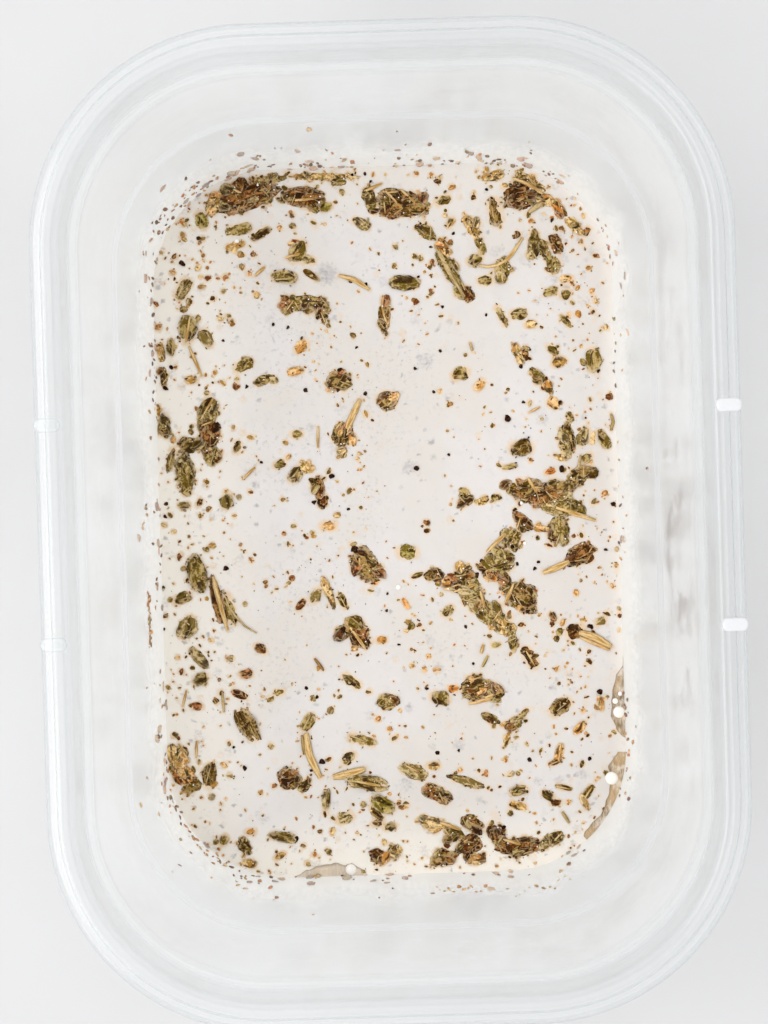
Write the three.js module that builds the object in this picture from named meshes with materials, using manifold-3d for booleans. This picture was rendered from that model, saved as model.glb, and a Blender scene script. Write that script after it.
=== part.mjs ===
// An open, clear plastic food tub with round corners, part filled with a creamy marinade.
// Millimetres, +Z up, the long sides along Y. The origin is the middle of the footprint, on the
// surface that the tub stands on.
//
// Every level of the tub is the same rounded rectangle, only wider or narrower, so the whole tub is
// one lathed profile whose four quarter turns are pulled apart along X and Y. A radius below is the
// corner radius at that level, and the half width there is the radius plus STRAIGHT_X.
import * as THREE from 'three';
import { mergeVertices } from 'three/addons/utils/BufferGeometryUtils.js';
import Module from 'manifold-3d';

const wasm = await Module();
wasm.setup();

// Footprint.
const STRAIGHT_X = 25.6; // half of the straight run of a short side
const STRAIGHT_Y = 54.7; // half of the straight run of a long side
const CORNER_STEPS = 12; // facets round each corner
const ROUND_STEPS = 4; // facets across each rounded edge of the profile

// Tub.
const HEIGHT = 92; // top of the rim
const WALL = 2; // thickness of the side walls
const FLOOR = 3; // top of the floor
const DRAFT = Math.tan(THREE.MathUtils.degToRad(4.9)); // outward lean of the walls
const FOOT_LIFT = 0.8; // how far the middle of the underside stands clear
const FOOT_RADIUS = 17.5; // inner edge of the foot ring
const OUTER_ROUND = 8; // round from the foot ring into the outer wall
const INNER_ROUND = 7; // round from the floor into the inner wall

// Marinade.
const LEVEL = 17; // liquid surface
const LEVEL_RADIUS = 28; // inner wall at the liquid surface
const GAP = 0.3; // clearance of the marinade solid to the tub

// Shoulder: a low step part way up the wall, on both faces.
const SHOULDER = 53;
const SHOULDER_HEIGHT = 1.6;
const SHOULDER_STEP = 0.8;

// Lid seat, rim flange and the lip that turns down round it.
const SEAT = 83;
const SEAT_HEIGHT = 1.5;
const SEAT_STEP = 1.4;
const FLANGE = 2.2; // thickness of the flange
const MOUTH_ROUND = 1.2; // inner edge of the rim
const LIP_RADIUS = 42.4; // outer face of the lip
const LIP_WALL = 1.7;
const LIP_HEIGHT = 5.2;
const LIP_ROUND = 1.7;

// Latch stops: four low ribs across the flange, two on each long side.
const RIB_SPACING = 42;
const RIB_LENGTH = 5;
const RIB_WIDTH = 2.6;
const RIB_HEIGHT = 1.2;
const RIB_ROUND = 0.9;
const RIB_INSET = 0.2; // from the lip's outer face to the rib's end
const RIB_SINK = 0.8; // how far a rib reaches down into the flange

// Corner radius of the inner wall at height z: drafted, with the shoulder and the lid seat.
function innerRadius(z) {
  const shoulder = THREE.MathUtils.clamp((z - SHOULDER) / SHOULDER_HEIGHT, 0, 1) * SHOULDER_STEP;
  const seat = THREE.MathUtils.clamp((z - SEAT) / SEAT_HEIGHT, 0, 1) * SEAT_STEP;
  return LEVEL_RADIUS + (z - LEVEL) * DRAFT + shoulder + seat;
}

// The tub's section, from the axis under the base, up the outside, over the rim and down the
// inside to the axis again.
function tubProfile() {
  const outer = (z) => innerRadius(z) + WALL;
  const under = HEIGHT - FLANGE;
  const mouth = innerRadius(HEIGHT);
  const path = new THREE.Path().moveTo(0, FOOT_LIFT);

  path.lineTo(FOOT_RADIUS, FOOT_LIFT);
  path.lineTo(FOOT_RADIUS + FOOT_LIFT, 0);
  path.lineTo(outer(0) - OUTER_ROUND, 0);
  path.quadraticCurveTo(outer(0), 0, outer(OUTER_ROUND), OUTER_ROUND);
  path.lineTo(outer(SHOULDER), SHOULDER);
  path.lineTo(outer(SHOULDER + SHOULDER_HEIGHT), SHOULDER + SHOULDER_HEIGHT);
  path.lineTo(outer(SEAT), SEAT);
  path.lineTo(outer(SEAT + SEAT_HEIGHT), SEAT + SEAT_HEIGHT);
  path.lineTo(outer(under), under);

  path.lineTo(LIP_RADIUS - LIP_WALL, under);
  path.lineTo(LIP_RADIUS - LIP_WALL, HEIGHT - LIP_HEIGHT);
  path.lineTo(LIP_RADIUS, HEIGHT - LIP_HEIGHT);
  path.lineTo(LIP_RADIUS, HEIGHT - LIP_ROUND);
  path.quadraticCurveTo(LIP_RADIUS, HEIGHT, LIP_RADIUS - LIP_ROUND, HEIGHT);

  path.lineTo(mouth + MOUTH_ROUND, HEIGHT);
  path.quadraticCurveTo(mouth, HEIGHT, innerRadius(HEIGHT - MOUTH_ROUND), HEIGHT - MOUTH_ROUND);
  path.lineTo(innerRadius(SEAT + SEAT_HEIGHT), SEAT + SEAT_HEIGHT);
  path.lineTo(innerRadius(SEAT), SEAT);
  path.lineTo(innerRadius(SHOULDER + SHOULDER_HEIGHT), SHOULDER + SHOULDER_HEIGHT);
  path.lineTo(innerRadius(SHOULDER), SHOULDER);
  path.lineTo(innerRadius(FLOOR + INNER_ROUND), FLOOR + INNER_ROUND);
  path.quadraticCurveTo(innerRadius(FLOOR), FLOOR, innerRadius(FLOOR) - INNER_ROUND, FLOOR);
  path.lineTo(0, FLOOR);
  return path;
}

// The marinade fills the tub from the floor to the liquid surface.
function marinadeProfile() {
  const bottom = FLOOR + GAP;
  const side = (z) => innerRadius(z) - GAP;
  const path = new THREE.Path().moveTo(0, bottom);

  path.lineTo(side(FLOOR) - INNER_ROUND, bottom);
  path.quadraticCurveTo(side(bottom), bottom, side(bottom + INNER_ROUND), bottom + INNER_ROUND);
  path.lineTo(side(LEVEL), LEVEL);
  path.lineTo(0, LEVEL);
  return path;
}

// A profile turned about Z, with its quarter turns pulled apart into a rounded rectangle. The
// first facet starts half a step round, so that no vertex lies where the quarters part.
function pulledLathe(path) {
  const facets = 4 * CORNER_STEPS;
  const geometry = new THREE.LatheGeometry(path.getPoints(ROUND_STEPS), facets, Math.PI / facets);
  geometry.rotateX(Math.PI / 2);
  const place = geometry.getAttribute('position');
  for (let i = 0; i < place.count; i++) {
    const x = place.getX(i);
    const y = place.getY(i);
    const onAxis = Math.hypot(x, y) < 1e-6;
    place.setX(i, onAxis ? 0 : x + Math.sign(x) * STRAIGHT_X);
    place.setY(i, onAxis ? 0 : y + Math.sign(y) * STRAIGHT_Y);
  }
  return geometry;
}

// One latch stop: a low bar with rounded ends, lying across the flange at the given place.
function ribGeometry(side, y) {
  const half = RIB_LENGTH / 2;
  const top = RIB_HEIGHT + RIB_SINK;
  const section = new THREE.Shape().moveTo(-half, 0);
  section.lineTo(half, 0);
  section.lineTo(half, top - RIB_ROUND);
  section.quadraticCurveTo(half, top, half - RIB_ROUND, top);
  section.lineTo(RIB_ROUND - half, top);
  section.quadraticCurveTo(-half, top, -half, top - RIB_ROUND);
  section.lineTo(-half, 0);

  const bar = new THREE.ExtrudeGeometry(section, {
    depth: RIB_WIDTH,
    curveSegments: ROUND_STEPS,
    bevelEnabled: false,
  });
  const middle = STRAIGHT_X + LIP_RADIUS - RIB_INSET - half;
  bar.rotateX(Math.PI / 2);
  bar.translate(side * middle, y + RIB_WIDTH / 2, HEIGHT - RIB_SINK);
  return bar;
}

// A closed geometry as a solid that can be joined.
function solid(geometry) {
  const bare = geometry.clone();
  bare.deleteAttribute('normal');
  bare.deleteAttribute('uv');
  const merged = mergeVertices(bare, 1e-4);
  return new wasm.Manifold(
    new wasm.Mesh({
      numProp: 3,
      vertProperties: merged.getAttribute('position').array,
      triVerts: new Uint32Array(merged.getIndex().array),
    }),
  );
}

// A joined solid as a geometry again.
function geometryOf(body) {
  const mesh = body.getMesh();
  const geometry = new THREE.BufferGeometry();
  geometry.setAttribute('position', new THREE.BufferAttribute(mesh.vertProperties, 3));
  geometry.setIndex(new THREE.BufferAttribute(mesh.triVerts, 1));
  geometry.computeVertexNormals();
  return geometry;
}

function tub() {
  let body = solid(pulledLathe(tubProfile()));
  for (const side of [-1, 1]) {
    for (const end of [-1, 1]) {
      body = body.add(solid(ribGeometry(side, (end * RIB_SPACING) / 2)));
    }
  }
  const clear = new THREE.MeshStandardMaterial({
    color: 0xe9ebec,
    roughness: 0.06,
    metalness: 0,
    transparent: true,
    opacity: 0.3,
  });
  const mesh = new THREE.Mesh(geometryOf(body), clear);
  mesh.name = 'tub';
  return mesh;
}

function marinade() {
  const cream = new THREE.MeshStandardMaterial({ color: 0xebe4db, roughness: 0.35, metalness: 0 });
  const mesh = new THREE.Mesh(pulledLathe(marinadeProfile()), cream);
  mesh.name = 'marinade';
  return mesh;
}

const part = new THREE.Group();
part.add(tub(), marinade());

export default part;
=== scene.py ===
import math
import random

import bmesh
import bpy
from mathutils import Matrix, Vector, kdtree, noise


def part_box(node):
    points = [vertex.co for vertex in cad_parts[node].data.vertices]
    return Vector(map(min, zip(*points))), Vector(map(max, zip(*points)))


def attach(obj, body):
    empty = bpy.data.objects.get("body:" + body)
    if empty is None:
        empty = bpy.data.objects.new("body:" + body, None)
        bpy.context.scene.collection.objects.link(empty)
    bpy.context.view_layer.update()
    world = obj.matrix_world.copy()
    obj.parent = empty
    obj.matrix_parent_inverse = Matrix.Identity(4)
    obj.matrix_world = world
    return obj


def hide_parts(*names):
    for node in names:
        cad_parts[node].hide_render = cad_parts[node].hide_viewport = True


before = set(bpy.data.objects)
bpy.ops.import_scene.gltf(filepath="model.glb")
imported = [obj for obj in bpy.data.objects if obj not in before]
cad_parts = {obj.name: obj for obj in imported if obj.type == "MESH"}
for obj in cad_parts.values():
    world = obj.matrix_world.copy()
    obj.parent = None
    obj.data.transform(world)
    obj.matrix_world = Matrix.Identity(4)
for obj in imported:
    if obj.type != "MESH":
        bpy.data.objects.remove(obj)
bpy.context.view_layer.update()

MM = 0.001
TUB_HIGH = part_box("tub")[1] / MM
LIQUID_LOW, LIQUID_HIGH = (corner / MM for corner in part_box("marinade"))

# Footprint: every level is a rounded rectangle, a radius round a straight-sided core.
STRAIGHT_X = 25.6
STRAIGHT_Y = 54.7
CORNER_STEPS = 32
MERGE = 0.001  # points closer than this are one

# Tub section.
GAP = 0.3
RIB_HEIGHT = 1.2
HEIGHT = TUB_HIGH.z - RIB_HEIGHT
FLOOR = LIQUID_LOW.z - GAP
LEVEL = LIQUID_HIGH.z
LEVEL_RADIUS = LIQUID_HIGH.x + GAP - STRAIGHT_X
LIP_RADIUS = TUB_HIGH.x - STRAIGHT_X
WALL = 2.0
DRAFT = math.tan(math.radians(4.9))
FOOT_LIFT = 0.8
FOOT_RADIUS = 17.5
OUTER_ROUND = 8.0
INNER_ROUND = 7.0
SHOULDER = 53.0
SHOULDER_HEIGHT = 1.6
SHOULDER_STEP = 0.8
SEAT = 83.0
SEAT_HEIGHT = 1.5
SEAT_STEP = 1.4
FLANGE = 2.2
MOUTH_ROUND = 1.2
LIP_WALL = 1.7
LIP_HEIGHT = 5.2
LIP_ROUND = 1.7
FOOT_ROUND = 0.4
SHOULDER_ROUND = 0.7
SEAT_ROUND = 0.6
UNDER_ROUND = 1.0  # from the wall into the underside of the flange
LIP_INNER_ROUND = 0.9
LIP_EDGE_ROUND = 0.6
RIB_SPACING = 42.0
RIB_LENGTH = 5.0
RIB_WIDTH = 2.6
RIB_INSET = 0.2
RIB_SINK = 0.3
RIB_END_ROUND = 0.42  # as a share of its width
RIB_TOP_ROUND = 0.45

# Marinade.
EMBED = 0.08  # how far the liquid reaches into the wall
SKIN_STEP = 0.54  # spacing of the points on the liquid surface
MENISCUS = 0.4  # how far the liquid climbs at the wall
MENISCUS_REACH = 1.3  # how far from the wall that climb has fallen to a third
BED_RISE = 0.1  # how far the wet bed of a clump stands up
SWELL = 0.07  # half the height of the slow swell, and of the ripple on it
RIPPLE = 0.03

# Herbs.
CLUMP_FILL = 0.78  # share of its length by width that a clump covers
LEAFLET_AREA = 6.0  # square millimetres of clump to each leaflet
CRUMB_AREA = 1.5  # and to each crumb
FIBRE_AREA = 15.0  # and to each fibre
CHIP_DENSITY = 0.45  # chips to a square millimetre of whole leaf
LEAF_THICK = 0.42
LEAFLET_THICK = 0.4
CRUMB_THICK = 0.26
SPICE_THICK = 0.3
FLAKE_THICK = 0.2
FIBRE_THICK = 0.2
FIELD_X = 54  # half of the stretch that specks are drawn from
FIELD_Y = 83
CHIPS = 5  # chips to a crumb of spice, the last of them a darker one
LARGE_CHIPS = 2

# Splash film.
FILM_FACE = 0.12  # how far its face stands in from the wall
FILM_SINK = 0.1  # how far its back reaches into the wall
FILM_LOW = LEVEL - 0.5
FILM_TOP = SHOULDER - 1
FILM_ROWS = 10

# Specks on the wall.
FLECK_LOW = LEVEL + 0.6
FLECK_TOP = SHOULDER - 4
FLECK_RISE = 6.5  # their mean height over the lowest
SMEAR_SIZE = 1.35  # from this size on they lie as smears under the film

# Oil and froth.
POOL_LIFT = 0.12  # top of a pool over the liquid
POOL_DEPTH = 0.4
POOL_WOBBLE = 0.7  # how uneven its inner edge is
BUBBLE_SQUASH = 0.6
BEAD_DENSITY = 0.06  # beads of cream to a square millimetre of clump

SEED = 5

# Tones of dried herb, from 0 to 1, and the mixes of tones that the clumps are made of.
BLACK, BROWN, RED, DEEP, OLIVE, SAGE, STRAW, GREEN, AMBER, ORANGE = (
    0.0, 0.1, 0.22, 0.34, 0.46, 0.58, 0.7, 0.82, 0.92, 1.0)
MIXES = {
    "dark": (BLACK, BROWN, BROWN, BROWN, DEEP, DEEP, OLIVE),
    "brown": (BLACK, BROWN, BROWN, DEEP, RED, OLIVE, AMBER),
    "olive": (BROWN, DEEP, OLIVE, OLIVE, DEEP, SAGE),
    "grey": (BROWN, OLIVE, SAGE, OLIVE, SAGE, SAGE),
    "tan": (OLIVE, SAGE, STRAW, STRAW, STRAW, AMBER),
    "amber": (RED, STRAW, AMBER, AMBER, STRAW, ORANGE),
}

# Clumps of crushed herb: x, y, length, width, turn from +X in degrees, mix.
CLUMPS = [
    (-31.5, 76.5, 17, 7, 12, "dark"), (-38.5, 75, 5, 4.5, 20, "tan"), (-26, 80.3, 9, 2, 5, "olive"),
    (-18, 76, 11, 5.2, -5, "dark"), (-12.5, 80.6, 16, 1.8, -3, "tan"), (-9.5, 79.5, 4, 2.5, 0, "olive"),
    (5.5, 73.6, 13, 6.5, -15, "brown"), (2.5, 72.2, 6, 4, -20, "dark"), (-2.3, 75, 3, 7, 10, "olive"),
    (10.5, 67, 6, 2.8, -38, "olive"), (14.6, 63.2, 5, 2.6, -65, "amber"),
    (15.8, 58.5, 6, 3, -65, "olive"), (19.6, 52.4, 5, 3.4, -55, "dark"), (32.5, 74.8, 8, 7, 20, "dark"),
    (36.5, 74.5, 6, 3, -20, "olive"), (41.8, 71.5, 5, 2.5, -45, "amber"),
    (44.8, 67.6, 5, 2.5, -60, "tan"), (35.5, 63, 6.5, 3, 85, "grey"), (38, 61.8, 5, 2.6, -65, "olive"),
    (40.9, 63.2, 5, 3, 100, "dark"), (39.8, 58.4, 4.4, 3, 80, "grey"), (26.5, 79.6, 6, 2.6, 15, "tan"),
    (35, 78.4, 9, 2, -35, "tan"), (39, 73.4, 5, 3, -10, "tan"), (21.4, 67.8, 6, 3.2, -65, "tan"),
    (23.2, 63.7, 4.5, 2, -55, "olive"), (28, 57.6, 6, 4.2, 80, "grey"),
    (-18.5, 51.3, 11, 3.8, 0, "olive"), (-14, 49.7, 5, 3, 80, "olive"),
    (-22.5, 50.2, 3.4, 3.2, 60, "brown"), (0.3, 47.5, 8.5, 3, 85, "brown"), (-52, 41, 5, 2, 90, "tan"),
    (-51.6, 35, 5, 2, 90, "brown"), (-41.6, 26.5, 7, 5, 80, "grey"), (-41.2, 21, 7, 5, 95, "dark"),
    (-41, 16.3, 5, 4.4, 80, "grey"), (-46, 19, 5, 4, 20, "olive"), (-47.3, 12, 9.5, 5, 95, "grey"),
    (-52, 23.5, 5, 3.4, 100, "olive"), (-53.2, 27.3, 3, 1.4, 90, "amber"),
    (-28, 33.8, 5, 2.5, 15, "olive"), (-11, 33, 6.5, 5, 30, "brown"), (-10.5, 20.5, 6, 5, 70, "brown"),
    (-10.5, 16.3, 3, 2.5, 80, "tan"), (-19, 13, 3, 3, 0, "tan"), (-16.3, 8.2, 5.5, 3, 95, "dark"),
    (-15.3, 4.9, 3, 2.5, 80, "dark"), (0.5, 27.8, 4.5, 4.5, 0, "brown"), (31.2, 38, 5, 2.4, 115, "tan"),
    (32.8, 38, 3.5, 1.8, 100, "dark"), (35.5, 33, 5, 2.5, -45, "olive"),
    (38, 29.6, 3.4, 2.2, -50, "brown"), (39.2, 26.2, 3.4, 3, -30, "amber"),
    (42.8, 22.8, 3, 2, -60, "olive"), (42, 18, 8.5, 4, 90, "grey"), (40.7, 13.5, 3, 2, 10, "tan"),
    (18, 4.5, 3.8, 3.5, 0, "brown"), (21.8, 3.9, 3.6, 2, 20, "tan"), (24.8, 4.6, 2.2, 2, 0, "olive"),
    (28.8, 6.5, 3.4, 3, 30, "olive"), (32.5, 5.8, 7, 6, 10, "brown"), (37.5, 5, 12, 5.6, 12, "dark"),
    (44.5, 9, 7, 4, 30, "olive"), (40.2, 2.3, 10, 6, -12, "grey"), (39.5, -3.5, 7, 5, 85, "grey"),
    (31, -1, 6.4, 3, -40, "dark"), (35.5, -3, 4, 1.8, -5, "amber"), (-5.7, -10.4, 9.5, 6, -55, "brown"),
    (-8.3, -26, 8.5, 5, -55, "dark"), (-12, -26, 4, 3.6, 40, "brown"), (10.5, -13, 4, 3.5, 0, "dark"),
    (14, -15, 5, 4, -10, "brown"), (17, -12, 4, 3, 30, "tan"), (19, -18.5, 6.5, 5, -30, "grey"),
    (22, -22, 7, 5.5, -45, "grey"), (25, -25, 6.5, 4.6, -45, "tan"), (16.5, -13.4, 6, 3.8, 0, "brown"),
    (18.3, -15.4, 5, 3.6, -20, "olive"), (23.6, -13.6, 4.5, 3, -20, "amber"),
    (27.8, -28.4, 7, 2.2, -85, "olive"), (21.5, -11.6, 3, 2.6, 0, "dark"),
    (25.5, -10.5, 7, 6, 15, "grey"), (28.4, -5, 5, 4, 60, "grey"), (26.5, -14.8, 5, 3.4, -60, "brown"),
    (30.2, -18.6, 8, 7, -40, "brown"), (32, -21.6, 4, 2.4, -10, "dark"), (44.5, -9, 7, 5, 25, "dark"),
    (19, -39.5, 8, 6, 15, "brown"), (23, -41, 6, 5, -20, "grey"), (22, -46.8, 5, 2.2, -25, "olive"),
    (-1.3, -42.3, 4.5, 3.8, 30, "olive"), (-51.4, -53.8, 6, 5, 80, "tan"),
    (-49.8, -58, 7, 5, -50, "amber"), (-47.8, -60.3, 4, 3.6, 0, "olive"),
    (-25.5, -59.3, 5.5, 5, 20, "dark"), (-22, -61.5, 3.2, 2.6, 20, "olive"),
    (-36, -75, 5, 3.2, -60, "olive"), (-35.5, -79, 3, 2.6, 0, "tan"), (9, -64, 8, 3.8, -25, "dark"),
    (8, -71, 8, 3, -15, "tan"), (13, -73.5, 5, 3, -20, "olive"), (17, -71.3, 6, 4, -30, "brown"),
    (16.5, -76.2, 6, 5, 30, "dark"), (18, -79.7, 4, 3.2, 0, "amber"),
    (10, -79.3, 6.5, 4.2, 10, "brown"), (23, -74.6, 5.4, 3.8, -70, "dark"),
    (28, -77, 12, 4.6, 3, "dark"), (36, -75.5, 6, 3.5, 25, "grey"), (-5, -78.5, 4.5, 3.5, 10, "brown"),
    (-1, -77, 3.6, 3, 0, "tan"), (28, -48, 4, 3.2, 40, "olive"), (25.8, -52, 4, 1.6, 75, "tan"),
]

# Whole leaves: x, y, length, width, turn, tone.
LEAVES = [
    (-41.7, 71.3, 4, 3, 110, GREEN), (-12.7, 73.5, 3, 2.1, 10, GREEN), (-33, 69, 6, 3, 10, OLIVE),
    (-28, 67.8, 5.5, 2.3, 30, DEEP), (-34, 65.2, 5, 2, 15, STRAW), (-19.5, 63.4, 5.4, 3.8, 60, OLIVE),
    (-17.2, 61.4, 3.2, 2.4, -10, SAGE), (-46.5, 55.5, 5, 4, 60, SAGE), (-22.8, 57.5, 6, 3.2, -5, OLIVE),
    (-16.5, 57.8, 4.5, 1.6, -35, DEEP), (-45.7, 45.8, 6.5, 4.2, 80, OLIVE),
    (-41.5, 43.8, 4.5, 3, -60, SAGE), (-49.7, 42, 4, 2, 90, OLIVE), (-4.5, 69.5, 4.5, 2.5, -30, SAGE),
    (14.7, 74.3, 3.5, 2.6, 20, OLIVE), (16.3, 69, 2.5, 1.8, 60, STRAW),
    (26.8, 71.3, 6.5, 4.3, 100, DEEP), (38.6, 60.6, 4.6, 2.2, -60, GREEN),
    (16.4, 56.8, 12.5, 2.6, -57, OLIVE), (21.7, 60.2, 3.5, 2.6, 20, OLIVE),
    (24, 55.3, 3, 2.6, 0, OLIVE), (5.3, 55.3, 7, 3.5, -5, OLIVE), (31.5, 47.3, 4, 2.8, 10, OLIVE),
    (34.3, 44.8, 2.5, 2, 0, STRAW), (27.5, 47, 6.5, 2, -65, SAGE), (42.5, 45.3, 4, 1.5, -50, OLIVE),
    (43, 55, 3, 2, 0, AMBER), (42.8, 51.5, 2.5, 2, 30, OLIVE), (39.3, 52.3, 3.8, 1.8, 20, OLIVE),
    (-50.5, 16, 6.5, 2.3, 75, OLIVE), (-33, 37.3, 4.5, 3.3, 30, OLIVE),
    (-20.8, 35.5, 3.8, 2, 10, AMBER), (-19.3, 41.2, 3.5, 2.6, 40, AMBER),
    (-45.2, 34.2, 2.5, 2, 0, STRAW), (-35, 18.2, 2.8, 2, 70, SAGE), (-21, 20.8, 2.5, 2, 0, OLIVE),
    (-25.2, 14, 3, 2, 20, OLIVE), (-21.5, 11.5, 4, 3.2, 50, SAGE), (-37.8, 5.8, 3.5, 3, 80, SAGE),
    (-47.8, 5, 3, 1.6, 0, OLIVE), (17.5, 33.7, 3.7, 3.3, 20, OLIVE), (22, 31, 3, 2.2, 50, AMBER),
    (39.3, 38.5, 3, 1.8, -40, OLIVE), (40.7, 35.8, 3.5, 2.5, 20, STRAW),
    (48.6, 36, 5.5, 3.8, 90, OLIVE), (45.8, 18.3, 4.5, 2.8, 65, SAGE), (48, 17.8, 3, 1.3, 80, STRAW),
    (50.5, 17.5, 5, 2.5, -65, OLIVE), (31.2, 16, 4.8, 4.2, 0, DEEP), (28.3, 11.7, 3.5, 1.3, 10, OLIVE),
    (46.5, 13.3, 2.5, 2, 40, OLIVE), (37.8, 10.3, 2.5, 1.5, 20, ORANGE),
    (-14.3, -0.8, 3.3, 3, 0, AMBER), (-45.3, -11, 9, 4.4, -80, OLIVE),
    (-49, -16.7, 4.2, 3.2, 20, OLIVE), (-40.9, -17, 12.5, 3, -77, BROWN),
    (-37.9, -19.4, 9.5, 3.2, -74, OLIVE), (-48, -23.5, 5.4, 4.2, 60, SAGE),
    (-45.6, -30.6, 6.5, 2.5, -50, SAGE), (-45.3, -35.7, 3.5, 2.8, 20, OLIVE),
    (-31, -29, 3, 2.2, -35, BROWN), (-34.6, -34.8, 2.8, 2.3, 0, RED), (-21.3, -19, 3, 1.8, 50, RED),
    (-17.7, -17, 3.5, 2.6, 60, SAGE), (-14.7, -16.5, 8, 2, -70, STRAW),
    (-11.5, -18.5, 4, 2, -65, OLIVE), (-10, -37.2, 5.5, 2.8, -35, OLIVE),
    (-2.7, -27.8, 2.2, 1.8, 0, AMBER), (-36.3, -39.5, 4, 2, -25, RED),
    (-27, -39.3, 2.5, 1.5, 10, OLIVE), (-46.3, -42, 2.5, 2, 0, RED), (4, -7.6, 4, 3.8, 0, GREEN),
    (6, -13, 3, 1.3, 20, OLIVE), (3.2, -19.5, 2.8, 1.2, -60, ORANGE), (13, -21.5, 3, 2.4, 40, SAGE),
    (24, -29.8, 2.3, 1.2, 10, GREEN), (31.8, -33, 5.5, 3.5, -60, BROWN), (42.6, -27, 4, 3.4, 20, BROWN),
    (48.5, -25, 2.5, 2, 30, SAGE), (37.5, -23.5, 2.5, 1.5, -50, BROWN),
    (10.5, -41.8, 4.2, 3.4, -20, OLIVE), (13.7, -39.7, 2.5, 2, 0, ORANGE),
    (48, -44.2, 3.8, 1.4, -80, AMBER), (-34.5, -46.8, 8.5, 4.3, -65, DEEP),
    (-43.8, -58.3, 6, 3.5, 85, DEEP), (-8, -51, 7.5, 3.2, -15, OLIVE),
    (-11.2, -55.2, 3.3, 2.8, 40, SAGE), (-20.5, -46.5, 4.5, 3, 60, OLIVE),
    (-7, -61, 10, 3.5, -12, OLIVE), (-16.8, -64.8, 5, 2, 85, SAGE), (-3.6, -66.2, 6, 3.6, -30, GREEN),
    (-5, -68.2, 4.6, 2.8, -60, DEEP), (-5, -70.6, 2.4, 1.8, 0, AMBER), (-2, -71.5, 3, 2, 10, OLIVE),
    (-12.5, -69.2, 4, 3, 20, SAGE), (-27.4, -73.1, 6.5, 2.5, -10, OLIVE),
    (-41, -73.5, 2.5, 2, 60, OLIVE), (-34.7, -71.7, 2.2, 1.8, 0, AMBER),
    (38.5, -44.7, 5.5, 3.8, 35, DEEP), (43, -49.7, 3.8, 2, 45, AMBER), (38, -55.4, 4.5, 2, 75, AMBER),
    (36.9, -57.6, 3.6, 1.4, 20, RED), (3.8, -58.8, 6.5, 3.5, -25, SAGE), (16, -61.5, 9, 2.2, -20, SAGE),
    (28.3, -64, 4.5, 2.5, 10, OLIVE), (28, -67.5, 4.5, 2, -15, STRAW), (35, -65.2, 3, 2.2, -30, OLIVE),
    (36.8, -67, 2.4, 1.8, 0, BROWN), (38.8, -63.5, 4, 1.2, -15, OLIVE),
    (44.3, -64.9, 4.6, 1.8, 50, OLIVE), (43.5, -67, 4, 1.6, -70, STRAW), (8.5, -57.5, 3, 2, 0, STRAW),
    (29.7, -46.2, 4, 1.4, 45, OLIVE), (26, -48.3, 3.4, 1.3, 10, STRAW), (-44.2, 5.6, 2, 1.4, 60, BROWN),
    (-28, -77.5, 3, 1.6, 30, STRAW), (48, 66, 2.2, 1.6, 60, BROWN),
]

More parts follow.
